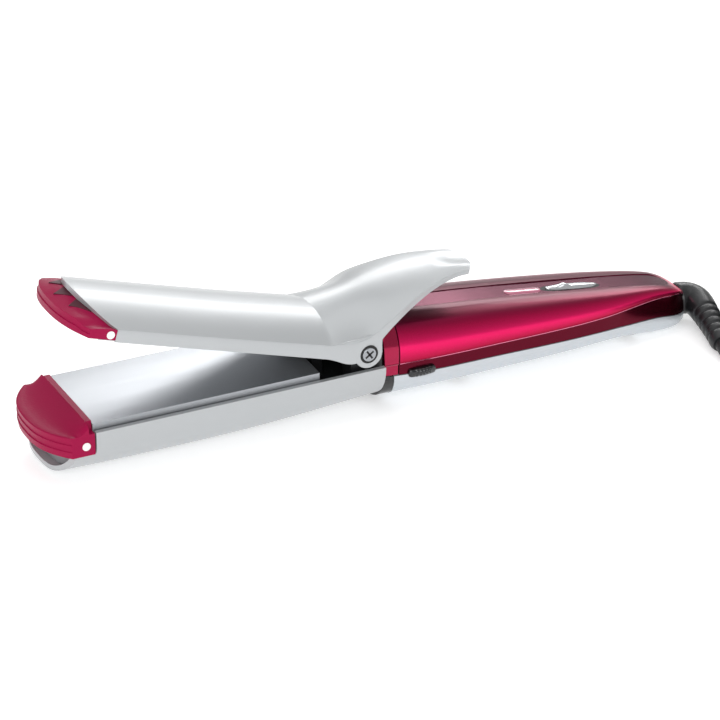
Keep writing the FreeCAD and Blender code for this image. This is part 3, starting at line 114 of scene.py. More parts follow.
# ---------------------------------------------------------------- mains lead
# Black two-core rubber lead, 6 mm thick. It leaves the swivel, lies down on the surface and
# is wound up for storage just past the tongs' rear end, where a strap holds the turns.
joints = {joint["name"]: joint for joint in frame["joints"]}
hinge = Vector(joints["jaw_hinge"]["pos_m"])
open_angle = math.radians(-joints["jaw_hinge"]["range_deg"][0])


def from_hinge(x, y, z):
    """The scene's place of a point given in millimetres from the jaw hinge."""
    return hinge + Vector((x, y, z)) * MM


def grain_group():
    """Moulded or sprayed grain: it scatters the roughness and tilts the normal."""
    tree = bpy.data.node_groups.new("surface_grain", "ShaderNodeTree")
    for label, value in (("Scale", 900.0), ("Roughness", 0.4), ("Spread", 0.1), ("Depth", 0.02)):
        socket = tree.interface.new_socket(label, in_out="INPUT", socket_type="NodeSocketFloat")
        socket.default_value = value
    tree.interface.new_socket("Roughness", in_out="OUTPUT", socket_type="NodeSocketFloat")
    tree.interface.new_socket("Normal", in_out="OUTPUT", socket_type="NodeSocketVector")
    link, new = tree.links.new, tree.nodes.new
    given, out = new("NodeGroupInput"), new("NodeGroupOutput")
    place, noise, bump = new("ShaderNodeTexCoord"), new("ShaderNodeTexNoise"), new("ShaderNodeBump")
    centred, spread, total = [new("ShaderNodeMath") for _ in range(3)]
    centred.operation, spread.operation, total.operation = "SUBTRACT", "MULTIPLY", "ADD"
    centred.inputs[1].default_value = 0.5
    noise.inputs["Detail"].default_value = 3.0
    bump.inputs["Distance"].default_value = 0.0004
    link(place.outputs["Object"], noise.inputs["Vector"])
    link(given.outputs["Scale"], noise.inputs["Scale"])
    link(noise.outputs["Fac"], centred.inputs[0])
    link(centred.outputs[0], spread.inputs[0])
    link(given.outputs["Spread"], spread.inputs[1])
    link(spread.outputs[0], total.inputs[0])
    link(given.outputs["Roughness"], total.inputs[1])
    link(noise.outputs["Fac"], bump.inputs["Height"])
    link(given.outputs["Depth"], bump.inputs["Strength"])
    link(total.outputs[0], out.inputs["Roughness"])
    link(bump.outputs["Normal"], out.inputs["Normal"])
    return tree


grain = grain_group()


def finish_of(name, color, roughness, spread=0.08, scale=900.0, depth=0.02, shade=0.06, **sockets):
    """A shader with grain and a faint cloudiness of colour. sockets are plain shader values."""
    material = bpy.data.materials.new(name)
    material.use_nodes = True
    tree = material.node_tree
    shader = tree.nodes["Principled BSDF"]
    texture = tree.nodes.new("ShaderNodeGroup")
    texture.node_tree = grain
    for label, value in (("Scale", scale), ("Roughness", roughness), ("Spread", spread), ("Depth", depth)):
        texture.inputs[label].default_value = value
    tree.links.new(texture.outputs["Roughness"], shader.inputs["Roughness"])
    tree.links.new(texture.outputs["Normal"], shader.inputs["Normal"])
    place, noise, mix = [tree.nodes.new(kind) for kind in
                         ("ShaderNodeTexCoord", "ShaderNodeTexNoise", "ShaderNodeMix")]
    mix.data_type = "RGBA"
    noise.inputs["Scale"].default_value = 60.0
    rgb = tint(color)
    mix.inputs["A"].default_value = [c * (1 - shade) for c in rgb[:3]] + [1]
    mix.inputs["B"].default_value = [min(1.0, c * (1 + shade)) for c in rgb[:3]] + [1]
    tree.links.new(place.outputs["Object"], noise.inputs["Vector"])
    tree.links.new(noise.outputs["Fac"], mix.inputs["Factor"])
    tree.links.new(mix.outputs["Result"], shader.inputs["Base Color"])
    for label, value in sockets.items():
        shader.inputs[label.replace("_", " ")].default_value = value
    return material


def shaded(obj, material, angle=35.0, bevel=0.0, steps=3):
    """Smooth skin with crisp edges where faces meet at more than angle, eased by bevel."""
    mesh = obj.data
    mesh.materials.clear()
    mesh.materials.append(material)
    mesh.polygons.foreach_set("use_smooth", [True] * len(mesh.polygons))
    mesh.set_sharp_from_angle(angle=math.radians(angle))
    if bevel:
        edge = obj.modifiers.new("eased_edges", "BEVEL")
        edge.width, edge.segments, edge.limit_method = bevel * MM, steps, "ANGLE"
        edge.angle_limit = math.radians(angle)
        edge.harden_normals = True
    return obj


def lofted(name, rings, capped=True):
    """A skin over rings that have the same number of points; capped fills the two ends."""
    count = len(rings[0])
    faces = []
    for row in range(len(rings) - 1):
        for k in range(count):
            a, b = row * count + k, row * count + (k + 1) % count
            faces.append((a, b, b + count, a + count))
    if capped:
        faces.append(tuple(range(count))[::-1])
        faces.append(tuple(range((len(rings) - 1) * count, len(rings) * count)))
    mesh = bpy.data.meshes.new(name)
    mesh.from_pydata([p for ring in rings for p in ring], [], faces)
    obj = bpy.data.objects.new(name, mesh)
    scene.collection.objects.link(obj)
    outward(mesh)
    return obj


def outward(mesh):
    """Merges doubles and points every face away from the inside."""
    work = bmesh.new()
    work.from_mesh(mesh)
    bmesh.ops.remove_doubles(work, verts=work.verts, dist=1e-7)
    bmesh.ops.dissolve_degenerate(work, edges=work.edges, dist=1e-7)
    bmesh.ops.recalc_face_normals(work, faces=work.faces)
    work.to_mesh(mesh)
    work.free()


handle_rear = (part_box("handle_upper_shell")[1].x - hinge.x) / MM
barrel_low, barrel_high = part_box("swivel_barrel")
swivel_low = ((barrel_low.z + barrel_high.z) / 2 - hinge.z) / MM
ground = -hinge.z / MM
cord_half = 3.0
lying = ground + cord_half
relief_route = [(handle_rear + 0.4, 0, swivel_low), (handle_rear + 8.5, 0, swivel_low),
                (handle_rear + 5.5, -16.0, swivel_low - 1.8), (handle_rear + 0.5, -34.0, ground + 4.6)]
lead_route = [(handle_rear - 1.9, -42.6, lying), (handle_rear + 4.1, -59.4, lying),
              (handle_rear + 18.7, -69.8, lying), (handle_rear + 36.0, -70.2, lying)]
coil_middle = (handle_rear + 54.5, -30.5)
layers = [ground + 3.8, ground + 9.8, ground + 15.05]
# (turns wound, radius, height): inwards on the surface, outwards above it, inwards on top
winding = [(0.0, 39, layers[0]), (0.85, 39, layers[0]), (1.0, 33, layers[0]), (1.85, 33, layers[0]),
           (2.0, 27, layers[0]), (2.65, 27, layers[0]), (2.8, 27, layers[1]), (3.45, 27, layers[1]),
           (3.62, 33, layers[1]), (4.45, 33, layers[1]), (4.62, 38.8, layers[1]), (5.32, 38.8, layers[1]),
           (5.47, 36, layers[2]), (6.2, 36, layers[2]), (6.37, 30, layers[2]), (7.0, 30, layers[2])]
coil_route = []
points_per_turn = 16
for step in range(int(winding[-1][0] * points_per_turn) + 1):
    turned = step / points_per_turn
    before, after = next(pair for pair in zip(winding, winding[1:]) if turned <= pair[1][0])
    share = (turned - before[0]) / (after[0] - before[0])
    share = share * share * (3 - 2 * share)
    radius = (before[1] + share * (after[1] - before[1])) * 1.01
    bearing = math.radians(360 * turned - 90)
    coil_route.append((coil_middle[0] + radius * math.cos(bearing),
                       coil_middle[1] + radius * math.sin(bearing),
                       before[2] + share * (after[2] - before[2])))
# the tail climbs to the plug, which lies on the coil
coil_top = ground + 18.2
plug_foot = (coil_middle[0] + 30.0, coil_middle[1] - 3.0, coil_top + 7.0)
tail_route = [(plug_foot[0] + u, plug_foot[1] + v, coil_top + w) for u, v, w in
              ((-18, -28.0, -2.0), (-8.0, -23.5, 1.2), (-2.0, -16.0, 4.2), (0, -8.0, 6.4), (0, 2.0, 7.0))]


def route_curve(name, route, bevel):
    """A smooth round curve along a route; bevel is half its thickness."""
    curve = bpy.data.curves.new(name, "CURVE")
    curve.dimensions = "3D"
    spline = curve.splines.new("NURBS")
    spline.points.add(len(route) - 1)
    for point, spot in zip(spline.points, route):
        point.co = (*from_hinge(*spot), 1.0)
    spline.order_u = 3
    spline.use_endpoint_u = True
    spline.resolution_u = 8
    curve.bevel_depth = bevel * MM
    curve.bevel_resolution = 5
    curve.use_fill_caps = True
    obj = bpy.data.objects.new(name, curve)
    scene.collection.objects.link(obj)
    return obj


def followed(name, route):
    """Points along the smooth line of a route, in metres."""
    plain = route_curve(name, route, 0.0)
    bpy.context.view_layer.update()
    mesh = bpy.data.meshes.new_from_object(plain)
    line = [vertex.co.copy() for vertex in mesh.vertices]
    bpy.data.objects.remove(plain)
    return line


cord_rubber = finish_of("cord_rubber", "121314", 0.48, spread=0.12, scale=2200.0, depth=0.10)
whole_route = relief_route + lead_route + coil_route + tail_route
lead = route_curve("mains_lead_cord", whole_route, cord_half)
lead.data.materials.append(cord_rubber)
lead_line = followed("lead_line", whole_route)
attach(lead, "cord_swivel")
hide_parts("mains_lead", "cord_coil", "plug_lead")

# ---------------------------------------------------------------- strain relief
# A soft rubber elbow moulded on the lead, with broad ribs that let it bend.
def bearings(count):
    """Angles at equal steps all the way round."""
    return [2 * math.pi * j / count for j in range(count)]


def swept(name, line, radius_at, around):
    """A round skin along a line; radius_at gives its radius, in metres, at a share of it."""
    rings, side = [], None
    lengths = [0.0]
    for a, b in zip(line, line[1:]):
        lengths.append(lengths[-1] + (b - a).length)
    for k, spot in enumerate(line):
        ahead = (line[min(k + 1, len(line) - 1)] - line[max(k - 1, 0)]).normalized()
        side = ahead.orthogonal() if side is None else side - ahead * side.dot(ahead)
        side.normalize()
        up = ahead.cross(side)
        radius = radius_at(lengths[k] / lengths[-1])
        rings.append([spot + (side * math.cos(a) + up * math.sin(a)) * radius for a in bearings(around)])
    return lofted(name, rings)


def evenly(line, count):
    """The same line with count points at equal distances."""
    lengths = [0.0]
    for a, b in zip(line, line[1:]):
        lengths.append(lengths[-1] + (b - a).length)
    spots, k = [], 0
    for step in range(count):
        want = lengths[-1] * step / (count - 1)
        while k < len(line) - 2 and lengths[k + 1] < want:
            k += 1
        share = (want - lengths[k]) / (lengths[k + 1] - lengths[k])
        spots.append(line[k].lerp(line[k + 1], min(1.0, share)))
    return spots


relief_length = 40.0 * MM
walked, cut_at = 0.0, 0
while walked < relief_length:
    walked += (lead_line[cut_at + 1] - lead_line[cut_at]).length
    cut_at += 1
relief_line = evenly(lead_line[:cut_at + 1], 180)
rib_count = 5


def relief_radius(share):
    """A plain collar, then the ribs, then a soft end, on a body that tapers."""
    taper = 6.7 - 2.1 * min(1.0, share / 0.85)
    collar_end, tail = 0.42, 0.92
    if share < collar_end:
        return (taper - 0.5 * max(0.0, 1 - share / 0.02)) * MM
    if share > tail:
        drop = (share - tail) / (1 - tail)
        return (taper - 0.9 * drop ** 2) * MM
    wave = (share - collar_end) / (tail - collar_end) * rib_count
    dip = 0.5 - 0.5 * math.cos(2 * math.pi * wave)
    return (taper - 0.6 * dip ** 3) * MM


relief_rubber = finish_of("relief_rubber", "1b1c1e", 0.36, spread=0.10, scale=1500.0, depth=0.08)
relief = shaded(swept("strain_relief_elbow", relief_line, relief_radius, 40), relief_rubber)
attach(relief, "cord_swivel")
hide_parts("strain_relief")

# ---------------------------------------------------------------- coil strap
# A woven hook-and-loop strap round the turns, its free end lapped over on top.
strap_turn = (coil_middle[0], coil_middle[1] + 33.0)
strap_half, strap_thick = 4.0, 0.8
strap_weave = finish_of("strap_weave", "1d1d1f", 0.85, spread=0.15, scale=5200.0, depth=0.6, shade=0.3)


def strap_loop(grow, low, high):
    """Points round the coil's turns, in the plane across them."""
    outline = []
    half, corner = 9.0 + grow, 2.6 + grow
    for side, top, first in ((1, 1, 0), (-1, 1, 90), (-1, 0, 180), (1, 0, 270)):
        for step in range(7):
            angle = math.radians(first + 15 * step)
            outline.append((side * (half - corner) + corner * math.cos(angle),
                            (high - corner if top else low + corner) + corner * math.sin(angle)))
    return outline


strap_slack = 0.1
turns_top = layers[2] + cord_half + strap_slack
flap_top, flap_thick = turns_top + strap_thick, 0.7
inner_loop = strap_loop(strap_slack, ground + strap_thick, turns_top)
outer_loop = strap_loop(strap_slack + strap_thick, ground, flap_top)
bands = []
for across, loop in ((-1, inner_loop), (-1, outer_loop), (1, outer_loop), (1, inner_loop), (-1, inner_loop)):
    x = strap_turn[0] + across * strap_half
    bands.append([from_hinge(x, strap_turn[1] + v, z) for v, z in loop])
strap = shaded(lofted("coil_strap", bands, capped=False), strap_weave, bevel=0.2)
flap_section = [(-strap_half, flap_top), (strap_half, flap_top),
                (strap_half, flap_top + flap_thick), (-strap_half, flap_top + flap_thick)]
flap = [[from_hinge(strap_turn[0] + u, strap_turn[1] + v, z) for u, z in flap_section] for v in (-6.0, 5.0)]
strap_end = shaded(lofted("strap_end", flap), strap_weave, bevel=0.3)
for piece in (strap, strap_end):
    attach(piece, "cord_swivel")
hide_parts("cord_tie")
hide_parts("cord_tie")

# ---------------------------------------------------------------- plug
# A flat two-pin mains plug, moulded on the lead in soft black plastic, with grip ribs.
plug_length = 34.0
# (share of the length, half the width, half the thickness)
plug_plan = [(0.0, 4.2, 4.2), (0.10, 4.6, 4.4), (0.30, 5.6, 4.8), (0.45, 8.6, 5.6), (0.60, 13.6, 6.6),
             (0.75, 16.4, 7.0), (0.97, 17.5, 7.0), (1.0, 17.0, 6.6)]


def along(stations, x):
    """The values at x on a smooth line through stations of (x, value, value, ...)."""
    k = 0
    while k < len(stations) - 2 and stations[k + 1][0] < x:
        k += 1
    here, there = stations[k], stations[k + 1]
    span = there[0] - here[0]
    u = (x - here[0]) / span
    values = []
    for column in range(1, len(here)):
        ends = []
        for i in (k, k + 1):
            first, last = stations[max(i - 1, 0)], stations[min(i + 1, len(stations) - 1)]
            ends.append((last[column] - first[column]) / (last[0] - first[0]) * span)
        values.append((2 * u ** 3 - 3 * u ** 2 + 1) * here[column] + (u ** 3 - 2 * u ** 2 + u) * ends[0]
                      + (3 * u ** 2 - 2 * u ** 3) * there[column] + (u ** 3 - u ** 2) * ends[1])
    return values


plug_rings, plug_steps, bluntness = [], 96, 0.55
for row in range(plug_steps + 1):
    share = row / plug_steps
    wide, thick = along(plug_plan, share)
    rib = 0.45 * max(0.0, math.sin(2 * math.pi * (share - 0.02) / 0.045)) if 0.04 < share < 0.32 else 0.0
    grip = 0.35 * max(0.0, math.sin(2 * math.pi * share / 0.05)) if 0.62 < share < 0.92 else 0.0
    ring = []
    for angle in bearings(48):
        c, s = math.cos(angle), math.sin(angle)
        u = math.copysign(abs(c) ** bluntness, c) * (wide - rib - grip * abs(c) ** 4)
        v = math.copysign(abs(s) ** bluntness, s) * (thick - rib)
        ring.append(from_hinge(plug_foot[0] + u, plug_foot[1] + share * plug_length, plug_foot[2] + v))
    plug_rings.append(ring)
plug_plastic = finish_of("plug_plastic", "17181a", 0.42, spread=0.12, scale=1600.0, depth=0.12)
plug = shaded(lofted("plug_moulding", plug_rings), plug_plastic, angle=50)
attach(plug, "cord_swivel")
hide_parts("plug_body")


def pin_skin(name, side, profile):
    """A round rod out of the plug's face; profile holds (distance from the face, radius)."""
    x, y, z = plug_foot[0] + side * pin_spread, plug_foot[1] + plug_length, plug_foot[2]
    return lofted(name, [[from_hinge(x + r * math.cos(a), y + out, z + r * math.sin(a)) for a in bearings(24)]
                         for out, r in profile])


pin_spread = 9.3
pin_profile = [(0.0, 2.0), (18.0, 2.0), (18.5, 1.8), (18.85, 1.3), (19.0, 0.5)]
sleeve_profile = [(-0.2, 2.12), (9.0, 2.12), (9.15, 2.0)]
nickel = finish_of("pin_nickel", "d8d3c4", 0.22, spread=0.08, scale=700.0, depth=0.02, Metallic=1.0)
sleeve = finish_of("pin_sleeve", "202124", 0.5)
pins, sleeves = [], []
for side, tag in ((-1, "left"), (1, "right")):
    pin = shaded(pin_skin("plug_pin_" + tag, side, pin_profile), nickel, angle=50)
    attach(pin, "cord_swivel")
    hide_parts("plug_pins")
    pins.append(pin)
    cover = shaded(pin_skin("pin_sleeve_" + tag, side, sleeve_profile), sleeve)
    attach(cover, "cord_swivel")
    sleeves.append(cover)

# ---------------------------------------------------------------- inner parts
# Everything inside the shells keeps the shape it has in the design and gets its material.
spring_wire = finish_of("spring_wire", "8e9196", 0.28, Metallic=1.0)
blackened = finish_of("hinge_plastic", "1a1b1d", 0.38, spread=0.12, scale=1500.0, depth=0.08)
ceramic = finish_of("heater_ceramic", "e9e4d8", 0.7)
brass = finish_of("bush_brass", "b8924a", 0.3, Metallic=1.0)
board = finish_of("board_green", "1f6b3a", 0.4)
red_resin = finish_of("led_resin", "c8323a", 0.15)
white_wire = finish_of("wire_white", "e6e3dc", 0.5)
brown_wire = finish_of("wire_brown", "6b4226", 0.5)
for material, names in ((spring_wire, "torsion_spring lower_heater_clip upper_heater_clip hinge_pin "
                                      "handle_screws board_screws"),
                        (blackened, "hinge_block lower_plate_tray upper_plate_frame switch_block "
                                    "swivel_socket swivel_barrel"),
                        (ceramic, "lower_heater upper_heater thermal_fuse"), (brass, "hinge_bushes"),
                        (board, "circuit_board"), (red_resin, "indicator_led"),
                        (white_wire, "heater_leads"), (brown_wire, "mains_leads")):
    for name in names.split():
        nodes[name].data.materials.clear()
        nodes[name].data.materials.append(material)

# ---------------------------------------------------------------- heating plates
# Two long aluminium bars, brushed lengthwise, with a gently crowned working face.
plate_metal = bpy.data.materials.new("plate_metal")
plate_metal.use_nodes = True
wires = plate_metal.node_tree
metal = wires.nodes["Principled BSDF"]
metal.inputs["Base Color"].default_value = tint("a9acb0")
metal.inputs["Metallic"].default_value = 0.85
spot, stretch, lines, level, bump = [wires.nodes.new(kind) for kind in (
    "ShaderNodeTexCoord", "ShaderNodeMapping", "ShaderNodeTexNoise", "ShaderNodeMapRange", "ShaderNodeBump")]
stretch.inputs["Scale"].default_value = (25.0, 2600.0, 2600.0)
lines.inputs["Scale"].default_value = 1.0
level.inputs["To Min"].default_value = 0.30
level.inputs["To Max"].default_value = 0.44
bump.inputs["Strength"].default_value = 0.06
bump.inputs["Distance"].default_value = 0.0002
wires.links.new(spot.outputs["Object"], stretch.inputs["Vector"])
wires.links.new(stretch.outputs["Vector"], lines.inputs["Vector"])
wires.links.new(lines.outputs["Fac"], level.inputs["Value"])
wires.links.new(level.outputs["Result"], metal.inputs["Roughness"])
wires.links.new(lines.outputs["Fac"], bump.inputs["Height"])
wires.links.new(bump.outputs["Normal"], metal.inputs["Normal"])
for name in ("lower_plate", "upper_plate"):
    nodes[name].data.materials.clear()
    nodes[name].data.materials.append(plate_metal)

# ---------------------------------------------------------------- lower arm shell
# A silver trough, 2 mm thick, whose front edge bows forward and whose rim is rounded.
half_arm, rim, wall = 24.0, -7.2, 2.0
# where the rim's straight side ends and the rounded bottom begins
side_foot = -15.9
trough_line = [(-129.7, 25.2), (-95.0, 26.0), (-44.3, 25.7), (10.2, 22.6)]


def slab(name, outer, inner):
    """A plate between two grids of points that have the same rows and columns."""
    rows, columns = len(outer), len(outer[0])
    total = rows * columns
    faces = []
    for i in range(rows - 1):
        for j in range(columns - 1):
            a = i * columns + j
            faces.append((a, a + 1, a + columns + 1, a + columns))
            faces.append((a + total, a + columns + total, a + columns + 1 + total, a + 1 + total))
    last = (rows - 1) * columns
    edges = [(j, j + 1) for j in range(columns - 1)]
    edges += [(last + j + 1, last + j) for j in range(columns - 1)]
    edges += [((i + 1) * columns, i * columns) for i in range(rows - 1)]
    edges += [(i * columns + columns - 1, (i + 1) * columns + columns - 1) for i in range(rows - 1)]
    faces += [(b, a, a + total, b + total) for a, b in edges]
    mesh = bpy.data.meshes.new(name)
    mesh.from_pydata([p for grid in (outer, inner) for row in grid for p in row], [], faces)
    obj = bpy.data.objects.new(name, mesh)
    scene.collection.objects.link(obj)
    outward(mesh)
    return obj


def bow(y, depth=7.1):
    """How far the front edge stands ahead of its ends, at y across the arm."""
    return depth * (1 - min(1.0, abs(y) / half_arm) ** 2.5)


def trough_section(drop, inset):
    """(y, z) points across the trough, from one rim to the other."""
    corner, half, foot = 15.0 - inset, half_arm - inset, -drop + inset
    heights = [rim + (side_foot + 0.06 - rim) * k / 4 for k in range(5)] + [side_foot]
    right = []
    for z in heights:
        below = max(0.0, foot + corner - z)
        right.append((half - corner + math.sqrt(corner ** 2 - below ** 2), z))
    start = math.asin(max(0.0, foot + corner - side_foot) / corner)
    for k in range(1, 15):
        a = start + (math.pi / 2 - start) * k / 14
        right.append((half - corner + corner * math.cos(a), foot + corner - corner * math.sin(a)))
    right += [((half - corner) * (1 - k / 4), foot) for k in range(1, 5)]
    return [(-y, z) for y, z in right] + right[-2::-1]


def trough_grid(inset):
    """Rows of points from the front edge to the hinge; the sides start behind the end cap."""
    grid, steps, rear = [], 60, 7.2
    lip = trough_section(26.0, inset)
    for step in range(steps + 1):
        row = []
        for k, (y, z) in enumerate(lip):
            front = -110.4 if z > side_foot + 0.03 else -116.9 - bow(y, 8.0)
            x = front + step / steps * (rear - front)
            row.append(from_hinge(x, *trough_section(along(trough_line, x)[0], inset)[k]))
        grid.append(row)
    return grid


silver = finish_of("silver_paint", "b6b9bb", 0.40, spread=0.06, scale=2600.0, depth=0.015, shade=0.02,
                   Metallic=0.35, Coat_Weight=0.25, Coat_Roughness=0.15)
lower_shell = slab("lower_arm_trough", trough_grid(0.0), trough_grid(wall))
shaded(lower_shell, silver, bevel=0.85, steps=4)
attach(lower_shell, "handle")
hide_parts("lower_arm_shell")

# the recessed panel that closes the trough below the end cap
panel_top, panel_thick = -15.5, 1.2
panel_edge = trough_section(25.2, wall - 0.1)[5:-5]
panel_rows = [[[from_hinge(-113.6 - bow(y, 8.0) + back, y, panel_top + (z - panel_top) * level)
                for y, z in panel_edge] for level in (0.0, 0.5, 1.0)] for back in (0.0, panel_thick)]
panel_grey = finish_of("panel_grey", "8d9093", 0.5, scale=2600.0, depth=0.02)
panel = shaded(slab("lower_arm_panel", *panel_rows), panel_grey)
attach(panel, "handle")

# ---------------------------------------------------------------- lower end cap
# Raspberry heat-proof plastic: a ridged band across the front and a slope up to the plate.
raspberry = finish_of("cap_raspberry", "9c0c42", 0.38, spread=0.10, scale=1300.0, depth=0.10, shade=0.05,
                      Specular_IOR_Level=0.12)


def cap_front(foot, head, front, count):
    """Points up the band, each ridge leaning out and stepping back."""
    points = []
    for k in range(count):
        low, high = foot + (head - foot) * k / count, foot + (head - foot) * (k + 1) / count
        points += [(front, low + 0.02), (front - 0.42, high - 0.25), (front, high - 0.05)]
    return points


def lower_cap_profile(y):
    """(x, z) round the cap at y: up the band, over the dished slope and down at the plate."""
    front = -119.8 - bow(y, 9.0)
    soft = 1.2 * max(0.0, (abs(y) - 22.0) / 2.0) ** 2
    points = [(-111.0, -15.7)] + cap_front(-15.7, rim, front, 3)
    for k in range(9):
        u = k / 8
        height = rim + 3.5 * u - 1.1 * math.sin(math.pi * u) - soft * u
        points.append((front + 0.3 + u * (-113.6 - front), height))
    ledge = rim if abs(y) > 20.7 else -3.4
    points += [(-113.2, max(ledge, -3.65 - soft)), (-113.1, ledge), (-110.95, ledge), (-110.95, -12.0)]
    return points


across = sorted([float(k) for k in range(-24, 25)] + [-20.95, -20.6, 20.6, 20.95])
cap_rings = [[from_hinge(x, y, z) for x, z in lower_cap_profile(y)] for y in across]
lower_cap = shaded(lofted("lower_end_cap", cap_rings), raspberry, angle=28, bevel=0.12, steps=2)
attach(lower_cap, "handle")
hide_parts("lower_tip")


def stud_tree():
    """Geometry nodes: a flat round head, facing across the arm, on each point of a mesh."""
    tree = bpy.data.node_groups.new("round_heads", "GeometryNodeTree")
    face = tree.interface.new_socket
    face("Points", in_out="INPUT", socket_type="NodeSocketGeometry")
    face("Radius", in_out="INPUT", socket_type="NodeSocketFloat").default_value = 0.0016
    face("Depth", in_out="INPUT", socket_type="NodeSocketFloat").default_value = 0.0006
    face("Material", in_out="INPUT", socket_type="NodeSocketMaterial")
    face("Heads", in_out="OUTPUT", socket_type="NodeSocketGeometry")
    link, new = tree.links.new, tree.nodes.new
    given, out = new("NodeGroupInput"), new("NodeGroupOutput")
    drum, turn = new("GeometryNodeMeshCylinder"), new("GeometryNodeTransform")
    place, solid, paint = [new("GeometryNode" + kind) for kind in
                           ("InstanceOnPoints", "RealizeInstances", "SetMaterial")]
    drum.inputs["Vertices"].default_value = 36
    turn.inputs["Rotation"].default_value = (math.pi / 2, 0, 0)
    link(given.outputs["Radius"], drum.inputs["Radius"])
    link(given.outputs["Depth"], drum.inputs["Depth"])
    link(drum.outputs["Mesh"], turn.inputs["Geometry"])
    link(given.outputs["Points"], place.inputs["Points"])
    link(turn.outputs["Geometry"], place.inputs["Instance"])
    link(place.outputs["Instances"], solid.inputs["Geometry"])
    link(solid.outputs["Geometry"], paint.inputs["Geometry"])
    link(given.outputs["Material"], paint.inputs["Material"])
    link(paint.outputs["Geometry"], out.inputs["Heads"])
    return tree


round_heads = stud_tree()


def studs(name, spots, radius, depth, material, bevel):
    """Round heads centred on spots, as one plain mesh."""
    seed = bpy.data.meshes.new(name + "_points")
    seed.from_pydata(spots, [], [])
    points = bpy.data.objects.new(name + "_points", seed)
    scene.collection.objects.link(points)
    maker = points.modifiers.new("heads", "NODES")
    maker.node_group = round_heads
    values = {"Radius": radius * MM, "Depth": depth * MM, "Material": material}
    for item in round_heads.interface.items_tree:
        if item.name in values:
            maker[item.identifier] = values[item.name]
    bpy.context.view_layer.update()
    made = points.evaluated_get(bpy.context.evaluated_depsgraph_get())
    mesh = bpy.data.meshes.new_from_object(made)
    bpy.data.objects.remove(points)
    obj = bpy.data.objects.new(name, mesh)
    scene.collection.objects.link(obj)
    return shaded(obj, material, angle=40, bevel=bevel)


white_pin = finish_of("pin_white", "f1f0ee", 0.35)
lower_pins = studs("lower_cap_pins", [from_hinge(-114.4, side * 23.95, -11.85) for side in (-1, 1)],
                   1.6, 0.6, white_pin, 0.12)
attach(lower_pins, "handle")
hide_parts("lower_tip_rivets")

# ---------------------------------------------------------------- upper arm shell
# A silver shell with a low crown. Behind the hinge it narrows into the lever for the thumb.
# (x, half the width, foot, where the crown begins, top of the crown)
arm_line = [(-129.0, 24.0, -3.4, 1.6, 8.2), (-55.35, 24.0, -3.4, 1.8, 8.6), (-17.0, 24.0, -3.4, 2.3, 9.6)]
lever_line = [(-17.0, 24.0, -3.4, 2.3, 9.6), (-3.0, 24.0, -3.4, 6.0, 16.0), (7.82, 22.6, 11.26, 15.84, 21.47),
              (16.1, 18.96, 18.3, 22.18, 25.52), (25.3, 15.32, 24.64, 27.63, 29.57),
              (35.9, 11.96, 29.6, 31.6, 33.5), (46.0, 10.0, 31.8, 33.8, 35.2)]


def on_arm(x, y, z):
    """The place of a point that is given with the jaws shut, on the opened upper arm."""
    c, s = math.cos(open_angle), math.sin(open_angle)
    return from_hinge(x * c + z * s, y, z * c - x * s)


def arm_front(y):
    """Where the shell's front edge, an arc, stands at y across the arm."""
    return -86.46 - math.sqrt(30.54 ** 2 - min(y * y, half_arm ** 2))


def arm_section(x, inset):
    """(y, z) points across the arm from its right foot over the crown to its left foot."""
    half, low, crease, crown = along(arm_line if x < -17.0 else lever_line, max(-129.0, min(46.0, x)))
    # share of the way from the hollow arm to the solid lever
    blade = max(0.0, min(1.0, (x + 6.0) / 12.0))
    rise = crown - crease
    right = [(half, low + (crease - 0.5 - low) * k / 3) for k in range(4)] + [(half - 0.12, crease - 0.12)]
    for k in range(1, 15):
        # wide flat crown with soft shoulders
        u = k / 14
        right.append(((half - 0.5) * (1 - u), crease + rise * (1 - (1 - u) ** 2.1)))
    if x > 30.0 and not inset:
        # a scoop for the thumb near the lever's end
        sink = 1.5 * min(1.0, (x - 30.0) / 9.0)
        right = [(y, z - sink * max(0.0, 1 - (y / 7.5) ** 2) ** 1.5) for y, z in right]
    if inset:
        shut = low + 0.05
        right = [((y - inset) if y > inset * 2 else y * 0.5, (z - inset) * (1 - blade) + shut * blade)
                 for y, z in right]
        right = [(max(0.0, y), max(z, low)) for y, z in right]
    return [(-y, z) for y, z in right] + right[-2::-1]


def arm_grid(inset):
    """Rows of points: half of them along the arm, half along the lever."""
    grid, half_way, joint_x = [], 50, -17.0
    widths = [y for y, z in arm_section(-110.0, 0)]
    for step in range(2 * half_way + 1):
        row = []
        for k, across_y in enumerate(widths):
            front = arm_front(across_y)
            rear = 42.0 + 3.9 * (1 - (across_y / half_arm) ** 2)
            x = front + step / half_way * (joint_x - front)
            if step > half_way:
                x = joint_x + (step - half_way) / half_way * (rear - joint_x)
            y, z = arm_section(x, inset)[k]
            row.append(on_arm(x, y, z))
        grid.append(row)
    return grid


arm_shell = shaded(slab("upper_arm_cover", arm_grid(0.0), arm_grid(wall)), silver, angle=19, bevel=0.4)
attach(arm_shell, "upper_arm")
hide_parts("upper_arm_shell")

